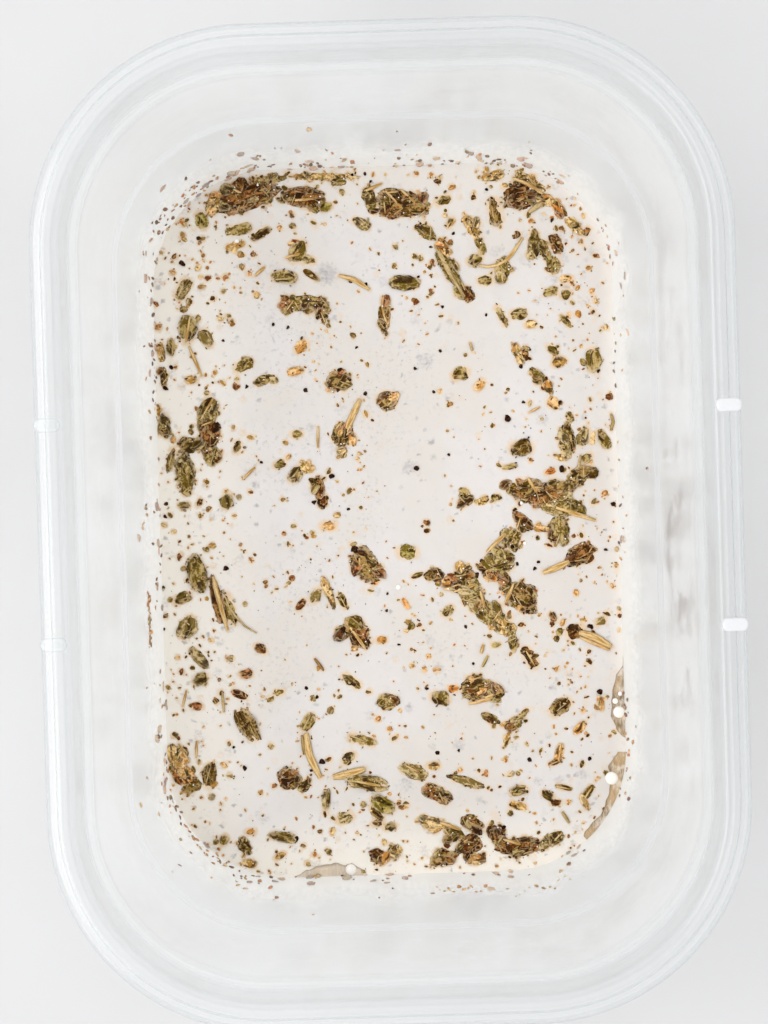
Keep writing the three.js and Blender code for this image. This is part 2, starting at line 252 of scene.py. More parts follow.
# Straws and stalks: width, tone, then the points that they pass through.
STRAWS = [
    (1.2, STRAW, (-10, 57.5), (-6.5, 56.4), (-3, 54)), (0.8, STRAW, (-29.6, 58), (-27.3, 60)),
    (1.3, SAGE, (12.8, 63.8), (15.6, 57.6), (19, 51.6)),
    (0.9, STRAW, (22.5, 58.8), (26, 58.3), (29.5, 60), (31, 62), (33, 65)),
    (0.8, STRAW, (-45.5, 42), (-44.3, 39), (-42.7, 35)),
    (1.6, STRAW, (-6, 28.5), (-8.5, 23.5), (-10, 20)), (0.6, STRAW, (-16, 22.5), (-16.2, 17.5)),
    (0.7, STRAW, (-34, 10.6), (-31, 13.4)), (0.7, SAGE, (20, 41), (20.5, 39)),
    (0.6, AMBER, (33.2, 24.2), (35.8, 25.4)), (1.0, STRAW, (32.5, 9), (34.5, 5.5)),
    (1.1, STRAW, (36, 3), (40, 1.5), (48, -1.4)), (0.6, SAGE, (44.3, 10.5), (45, 14)),
    (0.8, OLIVE, (52.2, 19.4), (52.8, 21.5), (52.3, 23.4)),
    (0.5, SAGE, (-38.4, -18.4), (-36.6, -21.2), (-34.5, -23.6), (-31.8, -25.3)),
    (0.9, STRAW, (-11, -23), (-6.5, -29.7)), (1.0, STRAW, (14.5, -17), (19.5, -15.5)),
    (1.0, STRAW, (22.5, -8), (27, -3.8)), (0.9, STRAW, (28.5, -15.5), (26.5, -20)),
    (0.8, STRAW, (20.6, -17), (21.6, -21)), (1.6, STRAW, (35.5, -13.2), (38, -12.4), (41.6, -10.8)),
    (1.9, STRAW, (43.4, -27.4), (47, -28.6), (50.8, -31)), (0.8, AMBER, (43.6, -28.6), (50.4, -31.8)),
    (0.7, GREEN, (20.6, -34.8), (22, -32.2)), (0.8, STRAW, (20.4, -31.6), (21, -29.6)),
    (1.1, STRAW, (21, -42), (25, -40.5)), (0.9, AMBER, (17.2, -43.3), (22.4, -42.2)),
    (0.7, SAGE, (-40, -43.5), (-40.3, -38.6)), (0.6, STRAW, (-49.6, -42), (-48.6, -38.2)),
    (0.6, STRAW, (-46.8, -54), (-46.6, -50)), (1.8, STRAW, (-21, -49), (-20.5, -54), (-18, -59.5)),
    (0.8, DEEP, (-22, -49.4), (-21.6, -54)), (2.0, STRAW, (-15, -59.5), (-11, -58.8), (-7.5, -57.8)),
    (0.8, OLIVE, (38.2, -69.2), (39.8, -71.8)), (0.8, BROWN, (-18.5, -31.6), (-16.5, -34.4)),
    (0.9, STRAW, (31, 79), (34.6, 77.4), (38, 75)), (1.3, SAGE, (34.6, 70.8), (38.5, 73.5)),
    (0.8, STRAW, (-34, 78.2), (-30.6, 76.4)), (0.7, STRAW, (5, 77), (8.2, 73.8)),
    (0.8, STRAW, (1.4, 76.8), (5.6, 72.2)), (0.8, STRAW, (-4, 76.6), (0.6, 78.6)),
    (0.7, STRAW, (-22.4, 62), (-19, 62.8)), (1.0, STRAW, (-19.8, 75.2), (-15.4, 75.6)),
    (0.9, STRAW, (9.6, -70.8), (14.4, -72.6)), (0.8, STRAW, (24.2, -75.2), (29, -76.8)),
    (0.7, STRAW, (-48.4, -55), (-50.8, -50.6)),
    (1.1, STRAW, (-41.6, -11.8), (-40.2, -17.8), (-38.6, -24.4)), (0.7, STRAW, (-45, 49), (-46.2, 43)),
    (0.7, STRAW, (-11, -60.4), (-4, -61.8)), (0.6, STRAW, (0.8, 45), (-0.4, 51)),
    (0.7, STRAW, (-43.2, 25), (-40.2, 29.8)),
]

# Peppercorn bits: x, y, size.
PEPPER = [
    (-42.6, 67.2, 1.3), (-46.6, 61.5, 2), (25, 76.5, 1.1), (40, 69, 1.3), (11.6, 63.5, 1),
    (16.8, 66.5, 1), (13.9, 49.5, 0.9), (24, 47.3, 0.9), (-25.7, 46.6, 1), (-22.3, 45.8, 1),
    (-49.8, 37.3, 1.3), (-54, 32, 1), (-54.2, 18, 1), (-18.7, 31, 1.3), (-4.7, 29.8, 1.1),
    (-6.5, 40.6, 0.9), (-32.3, 32.3, 1), (-29.5, 14.5, 0.9), (-13.2, 10.8, 1.7), (-52.3, 2.5, 1.3),
    (-52, 5.5, 1.3), (-9.5, 3, 1), (28.3, 22.9, 1.8), (32, 26.7, 1), (11.2, 29.7, 0.9), (13, 39.2, 0.9),
    (7, 35.3, 0.9), (6.7, 12, 1.6), (14.3, 15, 0.9), (52.3, 2.3, 1.4), (40.5, 11, 1.8),
    (-38.5, -10, 1.6), (-38, -18.5, 1), (-36.8, -22.3, 1.1), (-53.3, -14, 1), (-53.3, -23.7, 0.9),
    (-1.3, -21, 0.9), (-1, -17, 0.8), (1.2, -29, 0.9), (17, -25.3, 1), (18.5, -34, 0.9),
    (34.2, -5, 0.9), (-20.6, -38.5, 1), (-18.2, -40.7, 1), (46.3, -26.3, 1.4), (-35.6, -56.7, 1.4),
    (-38, -51.8, 1), (-17.5, -55.8, 1.8), (-20, -57.8, 1), (9.5, -54.5, 1.2), (14.5, -54.2, 0.9),
    (31, -56.8, 1.4), (45, -57, 1), (7.5, -39.5, 1), (33.5, -12.2, 1.2), (34.5, -10.7, 1),
    (50.2, -8.3, 1), (-6.3, 80.7, 1.2), (-3.3, 81, 1), (-2, 79.2, 1), (-10.5, 35.3, 1.4),
    (-8.5, 33, 1.3), (-11, 31, 1.4), (-10.7, 19.5, 1.6), (-17.5, 4.8, 1.2), (31.7, 35, 1.4),
    (40.5, 26.3, 1.4), (-51.3, 32.5, 1.7), (-8.3, -6.5, 2), (28.5, -7, 1.6), (29.5, -11, 1),
    (47.8, -41.4, 1.5), (8.5, -64, 1.6), (-24, -73.7, 1.8), (24.5, -72.5, 1.4), (10, -77.5, 1.5),
    (-28, 77.8, 1.6), (-31, 75.6, 1.3), (33.6, 39, 1.4), (17, 5.4, 1.4), (16.6, 3.4, 1.2),
    (-0.4, 28.6, 1.3), (45.8, -26, 1), (-9.6, 20.8, 1.3), (-37.6, 43.2, 0.9), (20, -13.4, 1.6),
    (21.2, -10, 1.3), (-12, -25, 1.3), (-4, 55, 1.4), (-7.4, 56, 1),
]

# Amber and red spice crumbs: x, y, size, tone.
CRUMBS = [
    (-46.3, 71.3, 1.6, AMBER), (-46.2, 67.8, 1.8, STRAW), (-23.5, 69, 1.3, AMBER),
    (-20.5, 72, 1.4, BROWN), (-29.7, 63, 1.5, RED), (-48, 63, 1.4, RED), (-48.8, 59.4, 1.6, AMBER),
    (-36.5, 58, 1.8, AMBER), (-31, 58.5, 1.4, AMBER), (-29.5, 53.7, 1.9, AMBER),
    (-37.2, 54.7, 1.3, SAGE), (-39.5, 53, 1.4, BROWN), (-52.5, 46.5, 1.9, AMBER),
    (-38, 48.3, 1.6, STRAW), (-35.3, 47.5, 1.3, GREEN), (8.6, 80.6, 1.3, AMBER),
    (12.2, 80.2, 1.3, AMBER), (14.2, 79.4, 1.2, STRAW), (24.5, 79.5, 1.2, AMBER),
    (28, 80.3, 1.3, BROWN), (35.2, 68.8, 1.4, AMBER), (31.9, 65.8, 1.8, BROWN), (42.3, 66.8, 1.3, RED),
    (47.8, 66, 1.2, AMBER), (46.7, 63.6, 1.3, AMBER), (49.8, 60.3, 1.2, RED), (48.3, 57.5, 1.4, AMBER),
    (11.3, 59.3, 1.4, AMBER), (11.3, 53, 1.2, RED), (3, 59.3, 1.2, STRAW), (48.8, 52, 1.4, AMBER),
    (49.5, 49.7, 1.2, STRAW), (49, 47.3, 1.3, BROWN), (-42.5, 10.3, 1.2, AMBER), (-38, 8, 1.3, STRAW),
    (-24.8, 5.7, 1.3, STRAW), (-44, 2.5, 1.2, AMBER), (15, 26.8, 1.2, AMBER), (33.3, 13, 1.2, RED),
    (-48, -9.5, 1.4, AMBER), (-32.5, -8.3, 1.2, AMBER), (-18, -2.7, 1.5, STRAW),
    (-38.7, -31, 1.3, AMBER), (6.2, -24.7, 1.3, RED), (8.2, -32, 1.3, AMBER), (4.3, -34, 1.2, STRAW),
    (7, -35.2, 1.3, AMBER), (51.5, -16.8, 1.2, ORANGE), (52.5, -12, 1.2, STRAW), (53, -23.5, 1.2, RED),
    (-4.2, -46.2, 1.8, ORANGE), (-1.5, -48.7, 1.3, AMBER), (-39.2, -58.3, 1.4, GREEN),
    (-32, -62.7, 1.3, AMBER), (-20, -77.5, 1.4, AMBER), (20.6, -59.8, 1.7, ORANGE),
    (14.8, -58.6, 1.3, AMBER), (25.3, -56.6, 1.3, AMBER), (43.8, -45.8, 1.3, AMBER),
    (39.8, -67, 1.3, AMBER), (8.5, -0.7, 1.8, RED), (-29.7, 80.2, 1.1, AMBER),
    (-12.3, 19.3, 1.4, AMBER), (-3.8, -14.3, 1.9, AMBER), (26.4, -17.4, 2, ORANGE),
    (11, -14.6, 1.8, AMBER), (-9, -29.3, 1.8, AMBER), (43.3, 9.6, 1.4, ORANGE), (50.4, 4.8, 1.6, AMBER),
    (37.2, -25.4, 1.3, BROWN), (30.2, -25.3, 1.6, RED), (47.4, 12, 1.2, AMBER), (44.3, 54, 1.4, RED),
]

# Where herb dust shows through the cream from just under the surface: x, y, reach, strength.
SHADOWS = [
    (-13, 58, 4, 1.0), (9.5, 37, 3, 0.8), (5, 12.3, 2.6, 0.9), (2, -62, 3, 0.7), (-20, 40, 16, 0.45),
    (-4, 24, 15, 0.4), (-26, 16, 14, 0.4), (4, 36, 13, 0.35), (-20, -16, 16, 0.4), (-28, 56, 12, 0.35),
    (-30, -34, 13, 0.3), (12, -32, 12, 0.3), (-8, 4, 12, 0.3), (26, -36, 10, 0.25), (-2, 62, 9, 0.3),
]

# Fine specks all over: how many, smallest, largest, tones, strength of the stain round them.
SPECK_KINDS = [
    (290, 1.1, 2.2, (BROWN, RED, DEEP, OLIVE, OLIVE, SAGE, STRAW, AMBER), 0.75),
    (560, 0.45, 1.15, (BROWN, RED, DEEP, OLIVE, SAGE, STRAW, AMBER, AMBER), 0.6),
    (300, 0.4, 0.95, (AMBER, AMBER, STRAW, ORANGE, RED), 0.6),
    (520, 0.18, 0.4, (BLACK, BROWN, BROWN, RED, DEEP, OLIVE), 0.15),
]
# What only shows through the cream: how many, smallest and largest reach, strength.
SUNKEN_KINDS = [(760, 0.4, 0.85, 1.0), (240, 1.0, 2.4, 0.5)]
GHOST_CRUMBS = 230  # faint tan stains of crumbs that have sunk

# Rows of specks stuck on the wall: from x, y to x, y, height, how many, tone, spread in height.
WALL_ROWS = [
    (-54, -14.5, -54, -26.5, 33, 30, AMBER, 0.5), (-49, 72, -52, 68, 30, 8, RED, 2.2),
    (-46, 74, -50, 70, 24, 6, BROWN, 2.2), (-44, 76, -41, 78, 26, 5, RED, 2.2),
    (-29, 83, -24, 83, 23, 6, BROWN, 2.2), (-20, 83, -14, 83, 21, 5, RED, 2.2),
    (4, 83, 6, 83, 20, 2, BLACK, 2.2), (15, 83, 17, 83, 22, 3, BROWN, 2.2),
    (25, 83, 29, 83, 20, 5, BROWN, 2.2), (38, 80, 42, 78, 20, 6, RED, 2.2),
    (-53, -62, -50, -68, 20, 8, RED, 2.2), (-49, -69, -44, -75, 22, 12, AMBER, 2.2),
    (-43, -76, -36, -80, 21, 9, RED, 2.2), (7, -83, 20, -83, 31, 14, AMBER, 2.2),
    (24, -83, 38, -81, 34, 12, STRAW, 2.2), (54, -42, 54, -48, 19, 6, RED, 2.2),
    (52, 40, 52, 30, 20, 5, BROWN, 2.2), (-54, 44, -54, 30, 19, 9, BROWN, 2.2),
]
# Specks scattered on the wall: how many, smallest, largest, and how far they lean out in degrees.
FLECK_KINDS = [(270, 0.4, 1.3, 65), (90, SMEAR_SIZE, 2.4, 30)]

# Pools of clear, browned oil against the wall: the inner edge's points, from end to end. The outer
# edge is the wall.
POOLS = [
    ((54.2, -33.2), (51.6, -38.4), (50.6, -42.6), (50.4, -47.2), (52.2, -51.4), (54.2, -52.6)),
    ((51.6, -55.6), (49.8, -58.4), (49.4, -62), (49.2, -66.4), (46.4, -70.8), (43.4, -74.2), (43, -75)),
    ((-24.2, -82.6), (-20.4, -80.4), (-15.4, -79.8), (-10.6, -80.2), (-7.6, -82.6)),
]

# Bubbles in the cream and the oil: x, y, size.
BUBBLES = [
    (52.2, -46.3, 2.8), (51.4, -43.7, 1.4), (52.6, -42, 1.1), (50, -61.7, 3.1), (-11.5, -81.2, 2.6),
    (1.6, -15.6, 1.2), (-14.2, 74.8, 0.8), (-33.6, 66.2, 1.1), (31.4, -6.2, 0.8), (13.2, -15.4, 1.1),
    (28.3, -18.6, 0.8), (30.8, 3.2, 0.9), (-28.4, 79, 0.9), (-24.6, 77.8, 0.7), (-50.2, -57.4, 0.9),
]


# Mesh helpers ---------------------------------------------------------------------------------

def clamp(value, low, high):
    return max(low, min(high, value))


def ease(value, start, end):
    """0 at start, 1 at end, and a smooth turn between them."""
    share = clamp((value - start) / (end - start), 0.0, 1.0)
    return share * share * (3 - 2 * share)


def inner_radius(z):
    """Corner radius of the inner wall at a height: drafted, with the shoulder and the lid seat."""
    shoulder = clamp((z - SHOULDER) / SHOULDER_HEIGHT, 0, 1) * SHOULDER_STEP
    seat = clamp((z - SEAT) / SEAT_HEIGHT, 0, 1) * SEAT_STEP
    return LEVEL_RADIUS + (z - LEVEL) * DRAFT + shoulder + seat


def wall_distance(x, y, radius):
    """How far a point lies inside the rounded rectangle of that corner radius."""
    over_x = abs(x) - STRAIGHT_X
    over_y = abs(y) - STRAIGHT_Y
    if over_x > 0 and over_y > 0:
        return radius - math.hypot(over_x, over_y)
    return radius - max(over_x, over_y)


def drop_to_wall(x, y, height):
    """The point of the inner wall at that height, straight out from x, y."""
    core = Vector((clamp(x, -STRAIGHT_X, STRAIGHT_X), clamp(y, -STRAIGHT_Y, STRAIGHT_Y), 0))
    out = Vector((x, y, 0)) - core
    out.normalize()
    place = core + out * inner_radius(height)
    place.z = height
    return place, out


def round_off(bm, parts, size, segments, affect):
    """Rounds edges or corners to that size."""
    bmesh.ops.bevel(
        bm, geom=parts, offset=size, offset_type="OFFSET", segments=segments, profile=0.5,
        affect=affect, material=-1)


def section(bm, stations):
    """A profile in the plane y = STRAIGHT_Y, from radius, height and the size of each corner's round."""
    places = [bm.verts.new((STRAIGHT_X + radius, STRAIGHT_Y, z)) for radius, z, _ in stations]
    for start, end in zip(places, places[1:]):
        bm.edges.new((start, end))
    for place, (_, _, size) in zip(places, stations):
        if size:
            round_off(bm, [place], size, 5, "VERTICES")


def pull(bm, edges, move, count):
    """Extrudes a row of edges along a vector, in that many strips."""
    for _ in range(count):
        made = bmesh.ops.extrude_edge_only(bm, edges=edges)["geom"]
        edges = [item for item in made if isinstance(item, bmesh.types.BMEdge)]
        verts = [item for item in made if isinstance(item, bmesh.types.BMVert)]
        bmesh.ops.translate(bm, verts=verts, vec=Vector(move) / count)


def merge_doubles(bm):
    bmesh.ops.remove_doubles(bm, verts=bm.verts, dist=MERGE)


def whole_of(bm):
    return list(bm.verts) + list(bm.edges) + list(bm.faces)


def sweep_round(bm, corner_steps, steps_x, steps_y):
    """Carries the profile round one corner and along half of both sides, then mirrors the quarter."""
    profile = list(bm.verts) + list(bm.edges)
    first = list(bm.edges)
    turned = bmesh.ops.spin(
        bm, geom=profile, cent=(STRAIGHT_X, STRAIGHT_Y, 0), axis=(0, 0, 1), angle=math.pi / 2,
        steps=corner_steps, use_merge=False)["geom_last"]
    last = [item for item in turned if isinstance(item, bmesh.types.BMEdge)]
    pull(bm, last, (-STRAIGHT_X, 0, 0), steps_x)
    pull(bm, first, (0, -STRAIGHT_Y, 0), steps_y)
    merge_doubles(bm)
    middle = [
        edge for edge in bm.edges
        if all(abs(v.co.x - STRAIGHT_X) < MERGE and v.co.y < STRAIGHT_Y + MERGE for v in edge.verts)
        and edge.is_boundary]
    pull(bm, middle, (-STRAIGHT_X, 0, 0), steps_x)
    for axis in ("X", "Y"):
        merge_doubles(bm)
        bmesh.ops.mirror(
            bm, geom=whole_of(bm), matrix=Matrix.Identity(4), merge_dist=MERGE, axis=axis)
    merge_doubles(bm)
    bmesh.ops.recalc_face_normals(bm, faces=bm.faces)


def mesh_of(name, bm):
    mesh = bpy.data.meshes.new(name)
    bm.to_mesh(mesh)
    bm.free()
    return mesh


def put(name, data):
    """A new object in the scene, at the origin."""
    made = bpy.data.objects.new(name, data)
    bpy.context.scene.collection.objects.link(made)
    return made


def finished(name, bm, finish):
    """Brings a shape to metres and gives it its finish."""
    bmesh.ops.scale(bm, vec=(MM, MM, MM), verts=bm.verts)
    mesh = mesh_of(name, bm)
    mesh.materials.append(finish)
    return mesh


def piece(name, bm, finish, crease=None):
    """A finished shape, smooth but for edges sharper than the crease, that rides on the tub."""
    mesh = finished(name, bm, finish)
    mesh.shade_smooth()
    if crease:
        mesh.set_sharp_from_angle(angle=math.radians(crease))
    made = put(name, mesh)
    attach(made, "root")
    return made


# Shader helpers -------------------------------------------------------------------------------

class Wire:
    """A node's output that takes part in ordinary sums."""

    def __init__(self, finish, socket):
        self.finish = finish
        self.socket = socket

    def maths(self, operation, first, second):
        return self.finish.node("ShaderNodeMath", {"operation": operation}, {0: first, 1: second})

    def __add__(self, other):
        return self.maths("ADD", self, other)

    def __radd__(self, other):
        return self.maths("ADD", other, self)

    def __sub__(self, other):
        return self.maths("SUBTRACT", self, other)

    def __rsub__(self, other):
        return self.maths("SUBTRACT", other, self)

    def __mul__(self, other):
        return self.maths("MULTIPLY", self, other)

    def __rmul__(self, other):
        return self.maths("MULTIPLY", other, self)

    def __pow__(self, other):
        return self.maths("POWER", self, other)

    def least(self, other):
        return self.maths("MINIMUM", self, other)


class Finish:
    """A material, or another holder of nodes, made node by node."""

    def __init__(self, name, holder=None):
        self.holder = holder or bpy.data.materials.new(name)
        self.holder.use_nodes = True
        self.tree = self.holder.node_tree
        self.tree.nodes.clear()

    def node(self, kind, settings=None, inputs=None, output=0):
        made = self.tree.nodes.new(kind)
        for name, value in (settings or {}).items():
            if name == "stops":
                set_stops(made.color_ramp, value)
            else:
                setattr(made, name, value)
        for name, value in (inputs or {}).items():
            if isinstance(value, Wire):
                self.tree.links.new(value.socket, made.inputs[name])
            else:
                made.inputs[name].default_value = value
        return Wire(self, made.outputs[output]) if made.outputs else None

    def position(self):
        """The place on the piece, in millimetres."""
        place = self.node("ShaderNodeTexCoord", output="Object")
        return self.node(
            "ShaderNodeVectorMath", {"operation": "SCALE"}, {0: place, "Scale": 1 / MM})

    def stretched(self, place, *shares):
        """A place with X, Y and Z scaled by those shares. A small one draws a pattern out."""
        return self.node("ShaderNodeVectorMath", {"operation": "MULTIPLY"}, {0: place, 1: shares})

    def part(self, place, axis):
        return self.node("ShaderNodeSeparateXYZ", None, {0: place}, output=axis)

    def stored(self, name, output="Fac"):
        return self.node("ShaderNodeAttribute", {"attribute_name": name}, output=output)

    def grazing(self):
        """0 where the surface is seen straight on, up to 1 where it is seen along."""
        return self.node("ShaderNodeLayerWeight", None, {"Blend": 0.5}, output="Facing")

    def grain(self, place, scale, detail=3.0, roughness=0.55, distortion=0.0):
        """Noise of about that many waves to a millimetre."""
        return self.node("ShaderNodeTexNoise", None, {
            "Vector": place, "Scale": scale, "Detail": detail, "Roughness": roughness,
            "Distortion": distortion})

    def curve(self, value, start, end, low=0.0, high=1.0):
        """Carries value from the range start to end smoothly onto low to high."""
        return self.node("ShaderNodeMapRange", {"interpolation_type": "SMOOTHSTEP"}, {
            "Value": value, "From Min": start, "From Max": end, "To Min": low, "To Max": high})

    def lines(self, value, width):
        """Thin lines where a noise passes its middle."""
        off = value - 0.5
        return self.curve(off * off, 0.0, width * width, 1.0, 0.0)

    def mix(self, share, first, second):
        """The first colour where the share is 0, the second where it is 1."""
        return self.node(
            "ShaderNodeMix", {"data_type": "RGBA"}, {0: share, 6: first, 7: second}, output=2)

    def colours(self, value, stops):
        return self.node("ShaderNodeValToRGB", {"stops": stops}, {"Fac": value})

    def bump(self, height, distance, strength=1.0):
        return self.node("ShaderNodeBump", None, {
            "Height": height, "Distance": distance * MM, "Strength": strength})

    def clear(self, colour):
        return self.node("ShaderNodeBsdfTransparent", None, {"Color": colour})

    def blend(self, share, first, second):
        """As mix does, for whole shaders."""
        return self.node("ShaderNodeMixShader", None, {0: share, 1: first, 2: second})

    def glow_through(self, colour, back_colour):
        """A milky skin that shows the light on its own side and what comes through from behind."""
        front = self.node("ShaderNodeBsdfPrincipled", None, {
            "Base Color": colour, "Roughness": 0.4, "IOR": 1.45})
        back = self.node("ShaderNodeBsdfTranslucent", None, {"Color": back_colour})
        return self.blend(0.5, front, back)

    def show(self, shader):
        self.node("ShaderNodeOutputMaterial", None, {"Surface": shader})
        return self.holder

    def surface(self, **inputs):
        named = {name.replace("_", " "): value for name, value in inputs.items()}
        return self.show(self.node("ShaderNodeBsdfPrincipled", None, named))


def set_stops(ramp, stops):
    while len(ramp.elements) < len(stops):
        ramp.elements.new(0.5)
    for element, (place, colour) in zip(ramp.elements, stops):
        element.position = place
        element.color = colour


def rgb(red, green, blue):
    """A colour of 0 to 255 parts, as the eye reads them, in the linear parts that shaders use."""
    parts = [value / 255 for value in (red, green, blue)]
    linear = [p / 12.92 if p <= 0.04045 else ((p + 0.055) / 1.055) ** 2.4 for p in parts]
    return (*linear, 1.0)


# Finishes -------------------------------------------------------------------------------------

def clear_plastic():
    """Clear moulded plastic with a thin haze, clearer at the rim, and faint stains up the wall."""
    finish = Finish("clear moulded plastic")
    place = finish.position()
    across, along, height = (finish.part(place, axis) for axis in "XYZ")
    blotch = finish.grain(place, 0.09, detail=3.0, roughness=0.6)
    band = finish.curve(height, SHOULDER + 1, SHOULDER + 8) * finish.curve(height, SEAT - 2, SEAT - 10)
    busy = finish.curve(across, -30, 50, 0.3, 1.0) * finish.curve(along * along, 2400, 400, 0.4, 1.0)
    stain = finish.curve(blotch, 0.47, 0.66) * band * busy
    grazing = finish.grazing()
    shine = 0.045 + 0.955 * grazing ** 5
    upper = finish.curve(height, SEAT - 4, SEAT + 4)
    depth = grazing * grazing * (0.15 + 0.55 * upper)
    clear = finish.blend(depth, finish.clear(rgb(254, 255, 255)), finish.clear(rgb(214, 218, 222)))
    mirror = finish.node("ShaderNodeBsdfAnisotropic", None, {
        "Color": rgb(255, 255, 255), "Roughness": 0.16})
    skin = finish.blend(shine, clear, mirror)
    tint = finish.mix(stain, rgb(250, 251, 252), rgb(112, 92, 78))
    milk = finish.glow_through(tint, rgb(250, 251, 252))
    haze = 0.11 + 0.45 * grazing * grazing
    cover = haze * (1 - 0.5 * upper) + stain * 0.25
    return finish.show(finish.blend(cover, skin, milk))


def painted_highlight_plastic():
    """The right latch stops: the same plastic, given a dull, pale, opaque skin as a painted highlight for
    the light they catch.
    """
    finish = Finish("latch stops with painted highlight")
    place = finish.position()
    speckle = finish.grain(place, 1.6, detail=3.0)
    return finish.surface(
        Base_Color=finish.mix(speckle, rgb(206, 208, 211), rgb(216, 217, 219)),
        Roughness=finish.curve(speckle, 0.3, 0.7, 0.3, 0.5), IOR=1.5)


def cream():
    """Marinade: warm white, with dust showing from below and a tan stain round the wet herbs."""
    finish = Finish("creamy marinade")
    place = finish.position()
    cloud = finish.grain(place, 0.045, detail=3.0)
    base = finish.mix(finish.curve(cloud, 0.35, 0.65), rgb(210, 205, 202), rgb(207, 200, 193))
    wisp = finish.grain(place, 0.3, detail=3.0, distortion=0.6)
    base = finish.mix(finish.curve(wisp, 0.5, 0.7, 0.0, 0.5), base, rgb(204, 199, 197))
    # Painted light towards the left wall and the ends, and a warm border of oil along the wall.
    base = finish.mix(finish.stored("warm"), base, rgb(238, 231, 220))

    dust = finish.grain(place, 0.95, detail=5.0, roughness=0.72)
    patches = finish.grain(place, 0.12, detail=2.0)
    sunk = finish.stored("sunk") + finish.curve(patches, 0.45, 0.7, 0.0, 0.25)
    dim = finish.curve(dust, 0.52, 0.7) * sunk
    base = finish.mix(dim.least(0.8), base, rgb(152, 148, 149))
    fray = finish.grain(place, 1.4, detail=4.0, roughness=0.65)
    haze = finish.curve(finish.stored("haze") + (fray - 0.5) * 1.2, 0.15, 1.0)
    base = finish.mix(haze * 0.75, base, rgb(150, 146, 149))

    halo = finish.curve(finish.stored("halo") + (fray - 0.5) * 0.9, 0.08, 0.85)
    base = finish.mix(halo * 0.85, base, finish.mix(wisp, rgb(224, 194, 156), rgb(204, 172, 128)))
    bed = finish.curve(finish.stored("bed") + (fray - 0.5) * 0.9, 0.3, 0.8)
    base = finish.mix(bed, base, finish.mix(fray, rgb(92, 62, 26), rgb(172, 140, 86)))

    fine = finish.grain(place, 1.8, detail=2.0)
    return finish.surface(
        Base_Color=base, Roughness=finish.curve(fine, 0.3, 0.7, 0.28, 0.4), IOR=1.38,
        Normal=finish.bump(fine, 0.03, 0.5))


# Each tone of herb where it is dark, and where it is thin and lets light through.
DARK_TONES = [
    (BLACK, rgb(40, 18, 3)), (BROWN, rgb(74, 40, 6)), (RED, rgb(108, 56, 22)), (DEEP, rgb(80, 56, 8)),
    (OLIVE, rgb(100, 78, 20)), (SAGE, rgb(120, 98, 46)), (STRAW, rgb(172, 128, 62)),
    (GREEN, rgb(106, 90, 18)), (AMBER, rgb(184, 126, 58)), (ORANGE, rgb(182, 104, 38)),
]
LIGHT_TONES = [
    (BLACK, rgb(96, 58, 24)), (BROWN, rgb(152, 106, 54)), (RED, rgb(182, 124, 78)),
    (DEEP, rgb(156, 125, 70)), (OLIVE, rgb(179, 154, 98)), (SAGE, rgb(198, 175, 130)),
    (STRAW, rgb(234, 202, 146)), (GREEN, rgb(176, 156, 88)), (AMBER, rgb(232, 194, 140)),
    (ORANGE, rgb(228, 170, 106)),
]


def herb(name, rim=0.85, fold_shade=0.9, blend=0.0, fine=0.7, milk=0.0):
    """Dried, oil-soaked herb: ribs along its length, painted shade in its folds, and a thin, pale rim.

    rim, milk and the share for the folds say how much of the pale rim, a veil of cream and the painted
    shade in the folds shows. blend is how far tones run into each other, and fine how strong the smallest
    marks are.
    """
    finish = Finish(name)
    grain = finish.stored("grain", output="Vector")
    edge = finish.stored("rim")
    along = finish.stretched(grain, 0.45, 1.0, 1.0)
    patches = finish.grain(grain, 0.33, detail=1.0)
    shift = finish.grain(grain, 0.55, detail=2.0)
    tone = finish.stored("tone") + (shift - 0.5) * blend
    ridges = finish.grain(along, 0.8, detail=2.0, roughness=0.5, distortion=0.5)
    fleck = finish.grain(grain, 1.9, detail=2.0, roughness=0.6)
    creases = finish.grain(along, 0.62, detail=1.0, distortion=0.8)
    ribs = finish.grain(along, 0.5, detail=1.0, distortion=0.3)
    dark = finish.colours(tone, DARK_TONES)
    light = finish.colours(tone, LIGHT_TONES)
    shade = ridges + (patches - 0.5) * 0.5 + (fleck - 0.5) * fine
    base = finish.mix(finish.curve(shade, 0.42, 0.66), dark, light)
    # Painted shade: the folds are darkened almost to black, where the creases and the gaps between bits
    # lie in shade.
    fold = finish.curve(creases, 0.49, 0.4) * finish.curve(fleck, 0.3, 0.5, 0.4, 1.0)
    base = finish.mix(fold * fold_shade, base, rgb(42, 21, 3))
    base = finish.mix(finish.lines(ribs, 0.022) * 0.4, base, rgb(214, 184, 138))
    thin = edge * finish.curve(fleck + (patches - 0.5) * 1.2, 0.4, 0.6, 0.0, 1.0)
    base = finish.mix(thin * rim, base, finish.mix(0.55, light, rgb(226, 208, 180)))
    base = finish.mix(milk, base, rgb(226, 216, 210))
    return finish.surface(
        Base_Color=base, Roughness=finish.curve(fleck, 0.3, 0.7, 0.3, 0.5), IOR=1.42,
        Specular_IOR_Level=0.07, Normal=finish.bump(ridges + fleck * 0.4 - fold * 0.4, 0.3, 0.8))


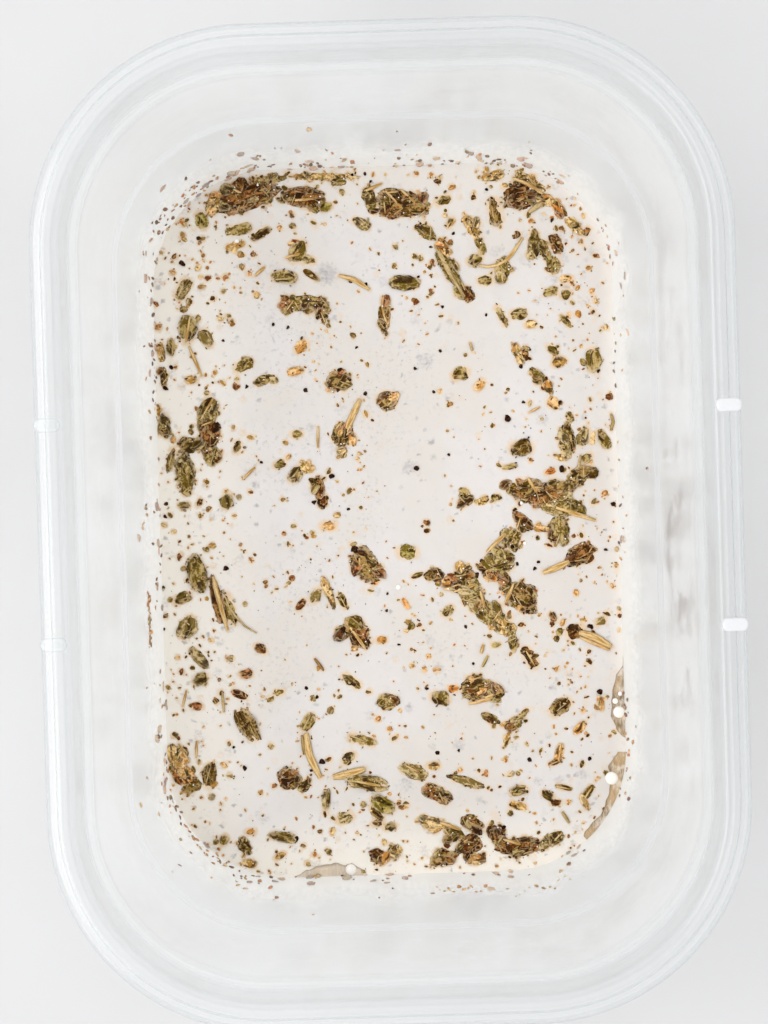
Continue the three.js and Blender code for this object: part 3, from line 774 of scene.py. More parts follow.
def dry_stalk():
    """Straws and stalks, with fine ribs along them."""
    finish = Finish("dry straw")
    grain = finish.stored("grain", output="Vector")
    tone = finish.stored("tone")
    streak = finish.grain(finish.stretched(grain, 0.2, 2.2, 1.0), 1.0, detail=3.0, roughness=0.6)
    fleck = finish.grain(grain, 2.2, detail=3.0, roughness=0.65)
    dark = finish.colours(tone, DARK_TONES)
    light = finish.colours(tone, LIGHT_TONES)
    bleached = finish.mix(0.35, light, rgb(186, 158, 112))
    base = finish.mix(finish.curve(streak, 0.34, 0.54), dark, bleached)
    base = finish.mix(finish.curve(fleck, 0.46, 0.32) * 0.5, base, rgb(98, 64, 26))
    base = finish.mix(finish.stored("rim") * 0.2, base, rgb(164, 126, 72))
    return finish.surface(
        Base_Color=base, Roughness=finish.curve(fleck, 0.3, 0.7, 0.3, 0.5), IOR=1.42,
        Specular_IOR_Level=0.1, Normal=finish.bump(streak, 0.15, 0.8))


def pepper():
    finish = Finish("cracked black pepper")
    grain = finish.stored("grain", output="Vector")
    pits = finish.grain(grain, 2.2, detail=3.0)
    tint = finish.colours(
        pits, [(0.4, rgb(26, 11, 3)), (0.58, rgb(54, 28, 10)), (0.72, rgb(112, 68, 34))])
    return finish.surface(
        Base_Color=tint, Roughness=finish.curve(pits, 0.3, 0.7, 0.3, 0.55), IOR=1.42,
        Specular_IOR_Level=0.08, Normal=finish.bump(pits, 0.15, 0.9))


def oil():
    """Oil that has drawn off against the wall: grey and brown streaks, tan in places."""
    finish = Finish("browned oil")
    place = finish.position()
    along = finish.stretched(place, 1.6, 0.4, 1.0)
    streak = finish.grain(along, 1.0, detail=4.0, roughness=0.65, distortion=0.5)
    patch = finish.grain(place, 0.16, detail=2.0)
    tint = finish.colours(streak, [
        (0.32, rgb(104, 84, 62)), (0.46, rgb(148, 130, 108)), (0.56, rgb(176, 160, 140)),
        (0.68, rgb(214, 200, 178))])
    tint = finish.mix(finish.curve(patch, 0.42, 0.6, 0.0, 0.6), tint, rgb(190, 158, 112))
    mottle = finish.grain(place, 0.45, detail=3.0)
    tint = finish.mix(finish.curve(mottle, 0.5, 0.66, 0.0, 0.7), tint, rgb(216, 204, 190))
    near_end = finish.curve(finish.part(place, "Y"), -76, -80, 0.0, 0.6)
    tint = finish.mix(near_end, tint, rgb(224, 210, 192))
    edge = finish.curve(finish.stored("edge") + (mottle - 0.5) * 0.4, 0.72, 1.0, 0.0, 0.55)
    tint = finish.mix(edge, tint, rgb(118, 92, 66))
    return finish.surface(
        Base_Color=tint, Roughness=finish.curve(streak, 0.3, 0.7, 0.08, 0.2), IOR=1.45,
        Specular_IOR_Level=0.3, Normal=finish.bump(streak, 0.15, 0.5))


def froth():
    finish = Finish("milky bubbles")
    place = finish.position()
    swirl = finish.grain(place, 1.2, detail=2.0)
    return finish.surface(
        Base_Color=finish.mix(swirl, rgb(244, 242, 238), rgb(234, 228, 218)),
        Roughness=finish.curve(swirl, 0.3, 0.7, 0.08, 0.18), IOR=1.4)


def film():
    """What the marinade left on the wall as it slopped: a milky veil that thins upwards in runs."""
    finish = Finish("dried splash film")
    place = finish.position()
    runs = finish.stretched(place, 1.0, 1.0, 0.3)
    streaks = finish.grain(runs, 0.12, detail=4.0, roughness=0.6)
    wet = finish.stored("thick") + (streaks - 0.5) * 0.9
    grazing = finish.grazing()
    cover = finish.curve(wet, 0.0, 0.85, 0.03, 0.86) * (0.3 + 0.7 * grazing)
    milk = finish.glow_through(rgb(253, 251, 248), rgb(253, 251, 248))
    return finish.show(finish.blend(cover, finish.clear((1, 1, 1, 1)), milk))


def table_top():
    finish = Finish("pale table")
    place = finish.position()
    cloud = finish.grain(place, 0.006, detail=3.0)
    grit = finish.grain(place, 0.4, detail=3.0)
    base = finish.mix(finish.curve(cloud, 0.35, 0.65), rgb(205, 205, 206), rgb(199, 199, 200))
    base = finish.mix(finish.curve(grit, 0.62, 0.8) * 0.12, base, rgb(196, 195, 194))
    return finish.surface(Base_Color=base, Roughness=0.5, IOR=1.4)


# The tub and the liquid -----------------------------------------------------------------------

def build_tub(finish):
    """One moulding: foot ring, drafted wall with its shoulder and lid seat, flange and lip."""
    def outer(z):
        return inner_radius(z) + WALL

    under = HEIGHT - FLANGE
    shoulder_top = SHOULDER + SHOULDER_HEIGHT
    seat_top = SEAT + SEAT_HEIGHT
    bm = bmesh.new()
    section(bm, [
        (0, FOOT_LIFT, 0),
        (FOOT_RADIUS, FOOT_LIFT, FOOT_ROUND),
        (FOOT_RADIUS + FOOT_LIFT, 0, FOOT_ROUND),
        (outer(0), 0, OUTER_ROUND),
        (outer(SHOULDER), SHOULDER, SHOULDER_ROUND),
        (outer(shoulder_top), shoulder_top, SHOULDER_ROUND),
        (outer(SEAT), SEAT, SEAT_ROUND),
        (outer(seat_top), seat_top, SEAT_ROUND),
        (outer(under), under, UNDER_ROUND),
        (LIP_RADIUS - LIP_WALL, under, LIP_INNER_ROUND),
        (LIP_RADIUS - LIP_WALL, HEIGHT - LIP_HEIGHT, LIP_EDGE_ROUND),
        (LIP_RADIUS, HEIGHT - LIP_HEIGHT, LIP_EDGE_ROUND),
        (LIP_RADIUS, HEIGHT, LIP_ROUND),
        (inner_radius(HEIGHT), HEIGHT, MOUTH_ROUND),
        (inner_radius(seat_top), seat_top, SEAT_ROUND),
        (inner_radius(SEAT), SEAT, SEAT_ROUND),
        (inner_radius(shoulder_top), shoulder_top, SHOULDER_ROUND),
        (inner_radius(SHOULDER), SHOULDER, SHOULDER_ROUND),
        (inner_radius(FLOOR), FLOOR, INNER_ROUND),
        (0, FLOOR, 0),
    ])
    sweep_round(bm, CORNER_STEPS, 1, 1)
    made = piece("clear_tub", bm, finish, crease=50)
    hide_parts("tub")


def build_latch_stops(name, side, finish):
    """Two low bars with round ends on one long side of the flange."""
    bm = bmesh.new()
    middle = STRAIGHT_X + LIP_RADIUS - RIB_INSET - RIB_LENGTH / 2
    lift = HEIGHT + (RIB_HEIGHT - RIB_SINK) / 2
    for end in (-1, 1):
        bar = bmesh.ops.create_cube(bm, size=1.0)["verts"]
        bmesh.ops.scale(bm, verts=bar, vec=(RIB_LENGTH, RIB_WIDTH, RIB_HEIGHT + RIB_SINK))
        bmesh.ops.translate(bm, verts=bar, vec=(side * middle, end * RIB_SPACING / 2, lift))
    upright = [
        edge for edge in bm.edges if abs(edge.verts[0].co.z - edge.verts[1].co.z) > RIB_HEIGHT / 2]
    round_off(bm, upright, RIB_WIDTH * RIB_END_ROUND, 5, "EDGES")
    top = max(v.co.z for v in bm.verts)
    crown = [edge for edge in bm.edges if all(v.co.z > top - MERGE for v in edge.verts)]
    round_off(bm, crown, RIB_TOP_ROUND, 4, "EDGES")
    bmesh.ops.recalc_face_normals(bm, faces=bm.faces)
    piece(name, bm, finish, crease=50)


def liquid_height(x, y):
    """The liquid surface: nearly level, with a slow swell and a rise at the wall."""
    away = wall_distance(x, y, LEVEL_RADIUS)
    swell = noise.noise(Vector((x * 0.06, y * 0.06, 4.0))) * SWELL
    swell += noise.noise(Vector((x * 0.3, y * 0.3, 9.0))) * RIPPLE
    return LEVEL + MENISCUS * math.exp(-max(away, 0.0) / MENISCUS_REACH) + swell


def build_marinade(finish, stains):
    """The liquid, just into the wall all round so that no gap shows, with its stains painted on.

    The cream is painted paler and warmer towards the left side and the two ends: painted light where the
    walls shade it. A border of oil warms it a little all along the wall.
    """
    bm = bmesh.new()
    top_rings = round(LEVEL_RADIUS / SKIN_STEP)
    low = FLOOR - EMBED
    section(bm, [
        (0, low, 0),
        (inner_radius(low) + EMBED, low, INNER_ROUND),
        (inner_radius(LEVEL) + EMBED, LEVEL, 0),
        (0, LEVEL, 0),
    ])
    across = [
        edge for edge in bm.edges
        if all(abs(v.co.z - LEVEL) < MERGE for v in edge.verts)]
    bmesh.ops.subdivide_edges(bm, edges=across, cuts=top_rings)
    sweep_round(
        bm, round(LEVEL_RADIUS * math.pi / 2 / SKIN_STEP), round(STRAIGHT_X / SKIN_STEP),
        round(STRAIGHT_Y / SKIN_STEP))
    names = ("halo", "bed", "sunk", "haze", "warm")
    for name in names:
        bm.verts.layers.float.new(name)
    layers = {name: bm.verts.layers.float[name] for name in names}
    skin = [v for v in bm.verts if abs(v.co.z - LEVEL) < MERGE]
    tree = kdtree.KDTree(len(skin))
    for index, v in enumerate(skin):
        tree.insert(v.co, index)
    tree.balance()
    for x, y, reach, strength, name in stains:
        layer = layers[name]
        centre = Vector((x, y, LEVEL))
        for _, index, distance in tree.find_range(centre, reach):
            v = skin[index]
            v[layer] = max(v[layer], strength * (1 - ease(distance / reach, 0.35, 1.0)))
    for v in skin:
        x, y, _ = v.co
        # Painted light: paler, warmer cream towards the left wall and both ends, where the walls shade
        # it; the last term is a border of oil along the wall.
        v[layers["warm"]] = max(
            0.85 * ease(x, -24, -54), ease(y, -64, -84), 0.3 * ease(y, 64, 84),
            0.3 * ease(wall_distance(x, y, LEVEL_RADIUS), 4.0, 0.0))
        v.co.z = liquid_height(x, y) + BED_RISE * v[layers["bed"]]
    made = piece("marinade_fill", bm, finish, crease=50)
    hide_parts("marinade")


# Herbs ----------------------------------------------------------------------------------------

class Scatter:
    """Copies of small shapes in one mesh. Each copy has its own tone, and a grain along its length."""

    def __init__(self):
        self.bm = bmesh.new()
        self.tone = self.bm.verts.layers.float.new("tone")
        self.rim = self.bm.verts.layers.float.new("rim")
        self.grain = self.bm.verts.layers.float_vector.new("grain")

    def add(self, shape, place, turn, tone, form):
        """form gives a point of the unit shape its place on this copy, not yet turned, and its grain."""
        start = len(self.bm.verts)
        self.bm.from_mesh(shape)
        self.bm.verts.ensure_lookup_table()
        # The shift keeps a copy's grain from matching that of the copies round it.
        shift = Vector((place.x * 3, place.y * 3, tone * 40))
        for index in range(start, len(self.bm.verts)):
            v = self.bm.verts[index]
            local, grain = form(v.co)
            v[self.tone] = tone
            v[self.grain] = grain + shift
            v.co = turn @ local + place


def unit_flake():
    """A seven-sided lens, one unit in radius, with a crown above and below."""
    bm = bmesh.new()
    bmesh.ops.create_circle(bm, cap_ends=True, segments=7, radius=1.0)
    crown = list(bm.faces)
    bmesh.ops.inset_individual(bm, faces=crown, thickness=0.36, depth=0.8)
    bmesh.ops.poke(bm, faces=crown)
    bmesh.ops.mirror(bm, geom=whole_of(bm), matrix=Matrix.Identity(4), merge_dist=MERGE, axis="Z")
    bmesh.ops.recalc_face_normals(bm, faces=bm.faces)
    return unit_mesh("unit flake", bm, lambda co: ease(co.xy.length, 0.62, 1.0))


def unit_leaf(detail):
    """A ball, one unit in radius, for a form to flatten."""
    bm = bmesh.new()
    bmesh.ops.create_icosphere(bm, subdivisions=detail, radius=1.0)
    return unit_mesh("unit leaf", bm, lambda co: ease(co.xy.length, 0.74, 1.0))


def unit_straw():
    """A six-sided cane along X, one unit long and one across."""
    bm = bmesh.new()
    bmesh.ops.create_cone(
        bm, cap_ends=True, segments=6, radius1=0.5, radius2=0.5, depth=1.0,
        matrix=Matrix.Rotation(math.pi / 2, 4, "Y"))
    along = [edge for edge in bm.edges if abs(edge.verts[0].co.x - edge.verts[1].co.x) > 0.5]
    bmesh.ops.subdivide_edges(bm, edges=along, cuts=5)
    return unit_mesh("unit straw", bm, lambda co: ease(abs(co.y), 0.25, 0.5))


def unit_mesh(name, bm, rim_of):
    """Marks how near each point of a unit shape is to its outline, and keeps the shape as a mesh."""
    rim = bm.verts.layers.float.new("rim")
    for v in bm.verts:
        v[rim] = rim_of(v.co)
    return mesh_of(name, bm)


def chip_outline(draw, corners):
    """How far an uneven outline with that many corners reaches, as a share of a circle."""
    sides = []
    flat = math.cos(math.pi / corners)
    for side in range(corners):
        angle = 2 * math.pi * (side + draw.uniform(-0.3, 0.3)) / corners
        sides.append((angle, flat * draw.uniform(0.88, 1.12)))

    def reach(x, y):
        angle = math.atan2(y, x)
        return min(1.2, min(away / max(math.cos(angle - at), 0.2) for at, away in sides))

    return reach


def leaf_form(length, width, thickness, draw, corners=(5, 7), crumple=1.0):
    """A crumpled, folded leaf or a chip of one, with an uneven outline."""
    outline = chip_outline(draw, draw.randint(*corners))
    angular = 0.6 if length < 2 * width else 0.3
    taper = draw.uniform(-0.35, 0.35)
    fold = draw.uniform(-0.25, 0.25) * crumple
    curl = draw.uniform(-0.5, 0.5) * crumple / length
    seed = draw.uniform(0, 500)
    notch = draw.uniform(0.1, 0.2)

    def form(co):
        reach = 1.05 * (1 - angular) + 1.05 * angular * outline(co.x, co.y)
        reach *= 1 + notch * noise.noise(Vector((co.x * 1.6 + seed, co.y * 1.6, seed)))
        reach *= 1 + 0.12 * noise.noise(Vector((co.x * length * 1.3 + seed, co.y * width * 1.3, seed)))
        x = co.x * length / 2 * reach
        y = co.y * width / 2 * reach * (1 + taper * co.x)
        z = co.z * (0.35 + 0.65 * abs(co.z)) * thickness / 2
        z += fold * abs(y) + curl * x * x * 0.3
        z += 0.2 * noise.noise(Vector((x * 0.8 + seed, y * 0.8, 3.0)))
        z += 0.1 * noise.noise(Vector((x * 2.2 + seed, y * 2.2, 8.0)))
        return Vector((x, y, z)), Vector((x, y, co.z * thickness / 2))

    return form


def bent_form(points, width, thickness):
    """A cane that passes through the points, thinner at its ends."""
    spans = [(a, b, (b - a).length) for a, b in zip(points, points[1:])]
    whole = sum(span for _, _, span in spans)

    def form(co):
        left = (co.x + 0.5) * whole
        for a, b, span in spans:
            if left <= span or b is points[-1]:
                break
            left -= span
        ahead = (b - a).normalized()
        aside = Vector((-ahead.y, ahead.x, 0))
        thin = 1 - 0.4 * ease(abs(co.x), 0.2, 0.5)
        place = a + ahead * left + aside * (co.y * width * thin)
        place.z += co.z * thickness * thin
        return place, Vector((co.x * whole, co.y * width, co.z * thickness))

    return form


def turn_of(degrees, tilt, draw):
    """Turned about Z, then tipped up to that many degrees to a drawn side."""
    lean = math.radians(draw.uniform(0, tilt))
    side = Matrix.Rotation(draw.uniform(0, 2 * math.pi), 3, "Z") @ Vector((1, 0, 0))
    return Matrix.Rotation(lean, 3, side) @ Matrix.Rotation(math.radians(degrees), 3, "Z")


def on_liquid(x, y, lift=0.0):
    return Vector((x, y, liquid_height(x, y) + lift))


def add_stain(stains, x, y, size, strength=1.0, spread=1.0):
    """A tan halo a little wider than the bit that it belongs to."""
    stains.append((x, y, size / 2 + spread, strength, "halo"))


def add_straw(straws, shape, points, width, thickness, tone):
    form = bent_form(points, width, thickness)
    straws.add(shape, Vector((0, 0, 0)), Matrix.Identity(3), tone, form)


def add_clump(mats, herbs, bits, straws, stains, spot, shapes, draw):
    """A matted clump: one wet mat, then leaflets, crumbs and a few fibres over it."""
    x, y, length, width, degrees, mix = spot
    turned = Matrix.Rotation(math.radians(degrees), 2)
    area = length * width * CLUMP_FILL

    def somewhere(share):
        angle = draw.uniform(0, 2 * math.pi)
        out = math.sqrt(draw.random()) * share
        off = turned @ Vector((out * math.cos(angle) * length / 2, out * math.sin(angle) * width / 2))
        wander = Vector((draw.gauss(0, 0.25), draw.gauss(0, 0.25)))
        return Vector((x, y)) + off + wander

    tones = MIXES[mix]
    thick = 0.4 + 0.12 * min(width, 5)
    form = leaf_form(length * 0.95, width * 0.9, thick, draw, (6, 9), crumple=0)
    shape = shapes["large leaf" if area > 9 else "leaf"]
    middle = tones[len(tones) // 2]
    mats.add(shape, on_liquid(x, y, 0.05), turn_of(degrees, 1, draw), middle, form)
    for _ in range(max(1, round(area / LEAFLET_AREA))):
        at = somewhere(0.8)
        size = min(draw.uniform(2.5, 4.6), width * 1.1)
        form = leaf_form(size, size * draw.uniform(0.5, 0.75), LEAFLET_THICK, draw)
        place = on_liquid(at.x, at.y, draw.uniform(0.1, 0.35))
        herbs.add(
            shapes["leaflet"], place, turn_of(degrees + draw.gauss(0, 35), 7, draw), draw.choice(tones),
            form)
        stains.append((at.x, at.y, size * 0.5, 0.9, "bed"))
        add_stain(stains, at.x, at.y, size * 0.9, 0.9, 0.7)
    for _ in range(round(area / CRUMB_AREA)):
        at = somewhere(1.0)
        size = draw.uniform(0.4, 1.4)
        form = leaf_form(size, size * draw.uniform(0.4, 0.8), CRUMB_THICK, draw)
        tone = clamp(draw.choice(tones) + draw.gauss(0, 0.03), 0, 1)
        place = on_liquid(at.x, at.y, draw.uniform(0.1, 0.45))
        bits.add(shapes["flake"], place, turn_of(degrees + draw.gauss(0, 60), 16, draw), tone, form)
        if draw.random() < 0.5:
            stains.append((at.x, at.y, size * 0.65, 0.8, "bed"))
        add_stain(stains, at.x, at.y, size, 0.8, 0.6)
    for _ in range(round(area / FIBRE_AREA)):
        at = somewhere(0.85)
        reach = draw.uniform(1.0, 3.0) / 2
        ahead = Vector((1, 0)) @ Matrix.Rotation(-math.radians(degrees + draw.gauss(0, 50)), 2)
        ends = [
            on_liquid(at.x + ahead.x * step, at.y + ahead.y * step, draw.uniform(0.4, 0.8))
            for step in (-reach, reach)]
        tone = draw.choice((STRAW, SAGE, SAGE, OLIVE))
        add_straw(straws, shapes["straw"], ends, draw.uniform(0.2, 0.4), FIBRE_THICK, tone)


def add_leaf(leaves, bits, straws, stains, spot, shapes, draw):
    """One whole leaf, crumbled at its rim, some with a pale rib or stalk along them."""
    x, y, length, width, degrees, tone = spot
    ahead = Vector((math.cos(math.radians(degrees)), math.sin(math.radians(degrees))))
    aside = Vector((-ahead.y, ahead.x))
    middle = Vector((x, y))
    form = leaf_form(length, width, LEAF_THICK, draw)
    shape = shapes["large leaf" if length > 6 else "leaf"]
    leaves.add(shape, on_liquid(x, y, 0.1), turn_of(degrees, 5, draw), tone, form)
    for step in (-0.3, 0, 0.3):
        at = middle + ahead * step * length
        add_stain(stains, at.x, at.y, width, 0.75, 0.8)
    for _ in range(round(length * width * CHIP_DENSITY)):
        at = middle + ahead * draw.uniform(-0.5, 0.5) * length + aside * draw.gauss(0, 0.3) * width
        size = draw.uniform(0.35, 1.0)
        shade = draw.choice((BLACK, BROWN, DEEP, OLIVE, SAGE, STRAW, clamp(tone + 0.04, 0, 1)))
        form = leaf_form(size, size * draw.uniform(0.4, 0.8), FLAKE_THICK, draw)
        place = on_liquid(at.x, at.y, draw.uniform(0.15, 0.4))
        bits.add(shapes["flake"], place, turn_of(draw.uniform(0, 180), 25, draw), shade, form)
    if length > 3.5 and draw.random() < 0.35:
        off = aside * draw.uniform(-0.22, 0.22) * width
        start = middle + off - ahead * length * draw.uniform(0.2, 0.45)
        end = middle + off * draw.uniform(-1, 1) + ahead * length * draw.uniform(0.15, 0.5)
        ends = [on_liquid(at.x, at.y, 0.42) for at in (start, end)]
        across = draw.uniform(0.2, 0.45)
        add_straw(straws, shapes["straw"], ends, across, 0.25, draw.choice((STRAW, SAGE)))


def build_herbs(shapes, stains, draw):
    """Every floating bit of herb, by kind."""
    mats, leaflets, bits, straws, leaves = (Scatter() for _ in range(5))
    for spot in CLUMPS:
        add_clump(mats, leaflets, bits, straws, stains, spot, shapes, draw)
    for spot in LEAVES:
        add_leaf(leaves, bits, straws, stains, spot, shapes, draw)
    for width, tone, *points in STRAWS:
        path = [on_liquid(x, y, 0.35) for x, y in points]
        add_straw(straws, shapes["straw"], path, width, min(width, 0.7) * 0.7, tone)
        for x, y in points:
            add_stain(stains, x, y, width, 0.5, 0.6)
    finish = herb("oiled dried herb")
    matted = herb("matted wet herb", rim=0.8, blend=0.4, fine=1.2)
    piece("herb_mats", mats.bm, matted)
    piece("herb_leaves", leaves.bm, finish)
    piece("herb_leaflets", leaflets.bm, finish)
    piece("herb_crumbs", bits.bm, finish)
    piece("herb_straws", straws.bm, dry_stalk())


def build_pepper(shapes, stains, draw):
    grains = Scatter()
    for x, y, size in PEPPER:
        form = leaf_form(size, size * draw.uniform(0.7, 1.0), size * 0.45, draw, (3, 4))
        place = on_liquid(x, y, 0.1)
        grains.add(shapes["leaflet"], place, turn_of(draw.uniform(0, 180), 25, draw), BLACK, form)
        add_stain(stains, x, y, size, 0.25, 0.4)
    piece("pepper_grains", grains.bm, pepper(), crease=35)


def build_crumbs(shapes, stains, draw):
    """Amber and red crumbs of spice, each of a few pale chips with a darker one."""
    crumbs = Scatter()
    for x, y, size, tone in CRUMBS:
        for chip in range(CHIPS):
            large = chip < LARGE_CHIPS
            off = size * (0.15 if large else 0.42)
            at = (x + draw.gauss(0, off), y + draw.gauss(0, off))
            across = size * (draw.uniform(0.7, 1.05) if large else draw.uniform(0.25, 0.5))
            form = leaf_form(across, across * draw.uniform(0.55, 0.9), SPICE_THICK, draw)
            if chip < CHIPS - 1:
                shade = clamp(tone + draw.gauss(0, 0.04), 0, 1)
            else:
                shade = draw.choice((BROWN, RED, RED))
            place = on_liquid(*at, draw.uniform(0.0, 0.1))
            crumbs.add(shapes["flake"], place, turn_of(draw.uniform(0, 180), 18, draw), shade, form)
        add_stain(stains, x, y, size, 0.8, 0.7)
    piece("spice_crumbs", crumbs.bm, herb("oiled spice crumbs", rim=0.7, fold_shade=0.5))


def build_specks(shapes, stains, draw):
    """Fine specks of everything, afloat, and others that only show through the cream."""
    specks = Scatter()

    def somewhere(wave):
        while True:
            x = draw.uniform(-FIELD_X, FIELD_X)
            y = draw.uniform(-FIELD_Y, FIELD_Y)
            away = wall_distance(x, y, LEVEL_RADIUS)
            busy = 0.22 + noise.noise(Vector((x * 0.06, y * 0.06, wave))) + 0.5 * ease(away, 22, 4)
            busy += 0.15 * (y < -10 or x < -10)
            if away > 0.4 and draw.random() < busy:
                return x, y

    for count, small, large, tones, stain in SPECK_KINDS:
        for _ in range(count):
            x, y = somewhere(21.0)
            size = draw.uniform(small, large)
            form = leaf_form(size, size * draw.uniform(0.4, 0.9), FLAKE_THICK, draw)
            place = on_liquid(x, y, 0.04)
            turn = turn_of(draw.uniform(0, 180), 20, draw)
            specks.add(shapes["flake"], place, turn, draw.choice(tones), form)
            add_stain(stains, x, y, size, stain, 0.5)
    for count, small, large, strength in SUNKEN_KINDS:
        for _ in range(count):
            reach = draw.uniform(small, large)
            stains.append((*somewhere(33.0), reach, draw.uniform(0.3, 1.0) * strength, "haze"))
    for _ in range(GHOST_CRUMBS):
        stains.append((*somewhere(21.0), draw.uniform(0.9, 1.8), draw.uniform(0.2, 0.45), "halo"))
    piece("fine_specks", specks.bm, herb("fine specks", rim=0.5, fold_shade=0.5))


def add_wall_fleck(flecks, shape, x, y, height, size, tone, draw, most_lean=65):
    """A speck that dried on to the wall by one edge, out from x, y."""
    place, out = drop_to_wall(x, y, height)
    along = Vector((-out.y, out.x, 0))
    up = Vector((out.x * DRAFT, out.y * DRAFT, 1)).normalized()
    stand = Matrix((along, up, along.cross(up))).transposed()
    lean = math.radians(draw.uniform(10, most_lean))
    tip = Matrix.Rotation(lean, 3, "X")
    spin = Matrix.Rotation(draw.gauss(0, 0.5), 3, "Z")
    form = leaf_form(size, size * draw.uniform(0.4, 0.9), FLAKE_THICK, draw)
    flecks.add(shape, place - out * (0.1 + size * 0.4 * math.sin(lean)), stand @ tip @ spin, tone, form)


def build_wall_flecks(shapes, draw):
    """Specks and smears up the wall: most near the liquid, at the left corners and at the far end.

    The rows are runs of specks that the marinade left behind as it settled.
    """
    flecks = Scatter()
    smears = Scatter()
    tones = (BROWN, RED, RED, ORANGE, OLIVE, STRAW, AMBER, AMBER)

    def somewhere():
        while True:
            x = draw.uniform(-FIELD_X - 3, FIELD_X + 3)
            y = draw.uniform(-FIELD_Y - 3, FIELD_Y + 3)
            busy = 0.3 + noise.noise(Vector((x * 0.06, y * 0.06, 40.0)))
            busy += 0.35 * (x < 0 and abs(y) > 40) + 0.3 * (y > 60) - 0.15 * (x > 40)
            if abs(wall_distance(x, y, LEVEL_RADIUS)) < 2 and draw.random() < busy:
                return x, y

    for count, small, large, most_lean in FLECK_KINDS:
        for _ in range(count):
            x, y = somewhere()
            height = min(FLECK_LOW + draw.expovariate(1 / FLECK_RISE), FLECK_TOP)
            size = draw.uniform(small, large)
            kind = flecks if size < SMEAR_SIZE else smears
            add_wall_fleck(kind, shapes["flake"], x, y, height, size, draw.choice(tones), draw, most_lean)
    for x, y, to_x, to_y, height, count, tone, spread in WALL_ROWS:
        for step in range(count):
            share = (step + draw.uniform(-0.3, 0.3)) / max(count - 1, 1)
            at = (x + (to_x - x) * share, y + (to_y - y) * share)
            rise = max(height + draw.gauss(0, spread), LEVEL + 0.8)
            shade = clamp(tone + draw.gauss(0, 0.08), 0, 1)
            add_wall_fleck(flecks, shapes["flake"], *at, rise, draw.uniform(0.4, 1.4), shade, draw)
    specks = herb("herb specks on the wall", rim=0.6, fold_shade=0.3, milk=0.15)
    piece("wall_flecks", flecks.bm, specks)
    veiled = herb("herb smears under the film", rim=1.0, fold_shade=0.2, milk=0.45)
    piece("wall_smears", smears.bm, veiled)


def smooth_path(points, steps):
    """A curve that passes through all the points, with that many steps from each to the next."""
    path = []
    for index, (start, end) in enumerate(zip(points, points[1:])):
        before = points[max(index - 1, 0)]
        after = points[min(index + 2, len(points) - 1)]
        for step in range(steps):
            t = step / steps
            place = start * 2 + (end - before) * t
            place += (before * 2 - start * 5 + end * 4 - after) * t ** 2
            place += (start * 3 - before - end * 3 + after) * t ** 3
            path.append(place / 2)
    return path + [points[-1]]


def build_pools(finish):
    """Flat pools of clear oil, each between its uneven inner edge and the wall."""
    bm = bmesh.new()
    edge = bm.verts.layers.float.new("edge")
    for points in POOLS:
        inner = []
        outer = []
        for place in smooth_path([Vector((x, y, 0)) for x, y in points], 6):
            wall, out = drop_to_wall(place.x, place.y, LEVEL)
            away = (wall - place).dot(out) + POOL_WOBBLE * noise.noise(place * 0.5)
            start = wall - out * max(away, 0.1)
            inner.append(on_liquid(start.x, start.y, POOL_LIFT))
            outer.append(on_liquid(wall.x, wall.y, POOL_LIFT))
        rows = [[bm.verts.new(place) for place in row] for row in (inner, outer)]
        for row in rows:
            for start, end in zip(row, row[1:]):
                bm.edges.new((start, end))
        for v in rows[0]:
            v[edge] = 1
        bmesh.ops.bridge_loops(bm, edges=[e for e in bm.edges if not e.link_faces])
    across = [e for e in bm.edges if e.verts[0][edge] != e.verts[1][edge]]
    bmesh.ops.subdivide_edges(bm, edges=across, cuts=4)
    made = bmesh.ops.extrude_face_region(bm, geom=list(bm.faces))["geom"]
    sunk = [item for item in made if isinstance(item, bmesh.types.BMVert)]
    bmesh.ops.translate(bm, verts=sunk, vec=(0, 0, -POOL_DEPTH))
    bmesh.ops.recalc_face_normals(bm, faces=bm.faces)
    piece("oil_pools", bm, finish, crease=50)


def build_bubbles(finish, draw):
    """The larger bubbles as listed, and beads of cream among the clumps."""
    bm = bmesh.new()

    def add_bubble(x, y, size, lift, detail):
        ball = bmesh.ops.create_icosphere(bm, subdivisions=detail, radius=size / 2)["verts"]
        bmesh.ops.scale(bm, verts=ball, vec=(1, 1, BUBBLE_SQUASH))
        bmesh.ops.translate(bm, verts=ball, vec=on_liquid(x, y, lift))

    for x, y, size in BUBBLES:
        add_bubble(x, y, size, 0.1, 3)
    for x, y, length, width, degrees, _ in CLUMPS:
        turned = Matrix.Rotation(math.radians(degrees), 2)
        for _ in range(round(length * width * BEAD_DENSITY)):
            off = turned @ Vector((draw.uniform(-0.4, 0.4) * length, draw.uniform(-0.4, 0.4) * width))
            add_bubble(x + off.x, y + off.y, draw.uniform(0.2, 0.42), draw.uniform(0.3, 0.6), 2)
    piece("milk_bubbles", bm, finish)


def build_splash_film(finish):
    """A thin milky film on the inner wall, from the liquid up to the shoulder."""
    bm = bmesh.new()
    rise = FILM_TOP - LEVEL
    heights = [FILM_LOW + rise * step / FILM_ROWS for step in range(FILM_ROWS + 1)]
    face = [(inner_radius(z) - FILM_FACE, z, 0) for z in heights]
    back = [(inner_radius(z) + FILM_SINK, z, 0) for z in reversed(heights)]
    section(bm, face + back)
    bm.verts.ensure_lookup_table()
    bm.edges.new((bm.verts[0], bm.verts[-1]))
    sweep_round(bm, 24, 10, 20)
    thick = bm.verts.layers.float.new("thick")
    for v in bm.verts:
        v[thick] = 1.05 * (1 - ease((v.co.z - LEVEL) / rise, -0.15, 0.85))
    piece("splash_film", bm, finish, crease=50)


# Room, camera and lights ----------------------------------------------------------------------

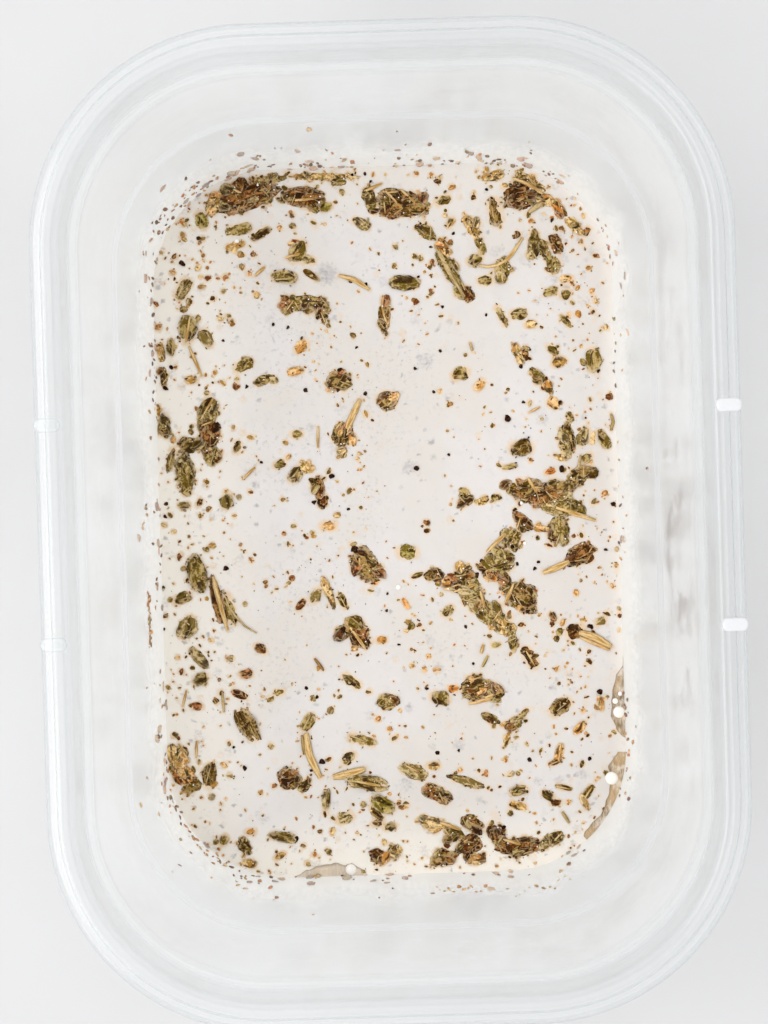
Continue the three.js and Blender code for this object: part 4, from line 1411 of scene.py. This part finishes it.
ROOM_LIGHT = 1.16
TABLE_HALF = 2000
SENSOR = 36
LENS = 62.65
CAMERA_PLACE = (-0.0012, 0.0046, 0.433)
CAMERA_TURN = (-0.351, -0.006, -1.751)  # in degrees
LAMPS = [  # name, place, size, power, in metres and watts
    ("window", (-0.72, -0.06, 1.15), 0.9, 6.2),
    ("small window", (-0.88, -0.82, 0.95), 0.35, 1.6),
]


def lay_table(finish):
    bm = bmesh.new()
    bmesh.ops.create_grid(bm, x_segments=8, y_segments=8, size=TABLE_HALF)
    table = put("table", finished("table", bm, finish))


def add_camera():
    """Straight above the tub, a little off its middle, turned by under two degrees."""
    data = bpy.data.cameras.new("camera")
    data.sensor_width = SENSOR
    data.lens = LENS
    data.clip_start = 0.01
    camera = put("camera", data)
    camera.location = CAMERA_PLACE
    camera.rotation_euler = [math.radians(angle) for angle in CAMERA_TURN]
    bpy.context.scene.camera = camera


def add_lamp(name, place, size, power):
    data = bpy.data.lights.new(name, "AREA")
    data.shape = "SQUARE"
    data.size = size
    data.energy = power
    lamp = put(name, data)
    lamp.location = place
    lamp.rotation_euler = (-Vector(place)).to_track_quat("-Z", "Y").to_euler()


def light_room():
    """A white room, dim right overhead, with a large window at the left and a small one near it."""
    world = bpy.data.worlds.new("room")
    bpy.context.scene.world = world
    room = Finish("room", world)
    place = room.node("ShaderNodeTexCoord", output="Generated")
    overhead = room.curve(room.part(place, "Z"), 0.93, 0.985, 0.0, 0.5)
    strength = ROOM_LIGHT - overhead - room.part(place, "X") * 0.03
    light = room.node("ShaderNodeBackground", None, {"Color": (1, 1, 1, 1), "Strength": strength})
    room.node("ShaderNodeOutputWorld", None, {"Surface": light})
    for lamp in LAMPS:
        add_lamp(*lamp)


def make_everything():
    draw = random.Random(SEED)
    add_camera()
    light_room()
    lay_table(table_top())
    clear = clear_plastic()
    build_tub(clear)
    build_latch_stops("clear_latch_stops", -1, clear)
    # The right pair carries a painted highlight; the left pair is the clear plastic.
    build_latch_stops("latch_stops_painted_highlight", 1, painted_highlight_plastic())
    shapes = {
        "large leaf": unit_leaf(4),
        "leaf": unit_leaf(3),
        "leaflet": unit_leaf(2),
        "flake": unit_flake(),
        "straw": unit_straw(),
    }
    stains = [(x, y, reach, strength, "sunk") for x, y, reach, strength in SHADOWS]
    stains += [(x, y, reach, strength * 0.6, "haze") for x, y, reach, strength in SHADOWS if reach < 5]
    build_herbs(shapes, stains, draw)
    build_pepper(shapes, stains, draw)
    build_crumbs(shapes, stains, draw)
    build_specks(shapes, stains, draw)
    build_marinade(cream(), stains)
    build_pools(oil())
    build_bubbles(froth(), draw)
    build_splash_film(film())
    build_wall_flecks(shapes, draw)
    bpy.context.scene.view_settings.view_transform = "Standard"


make_everything()
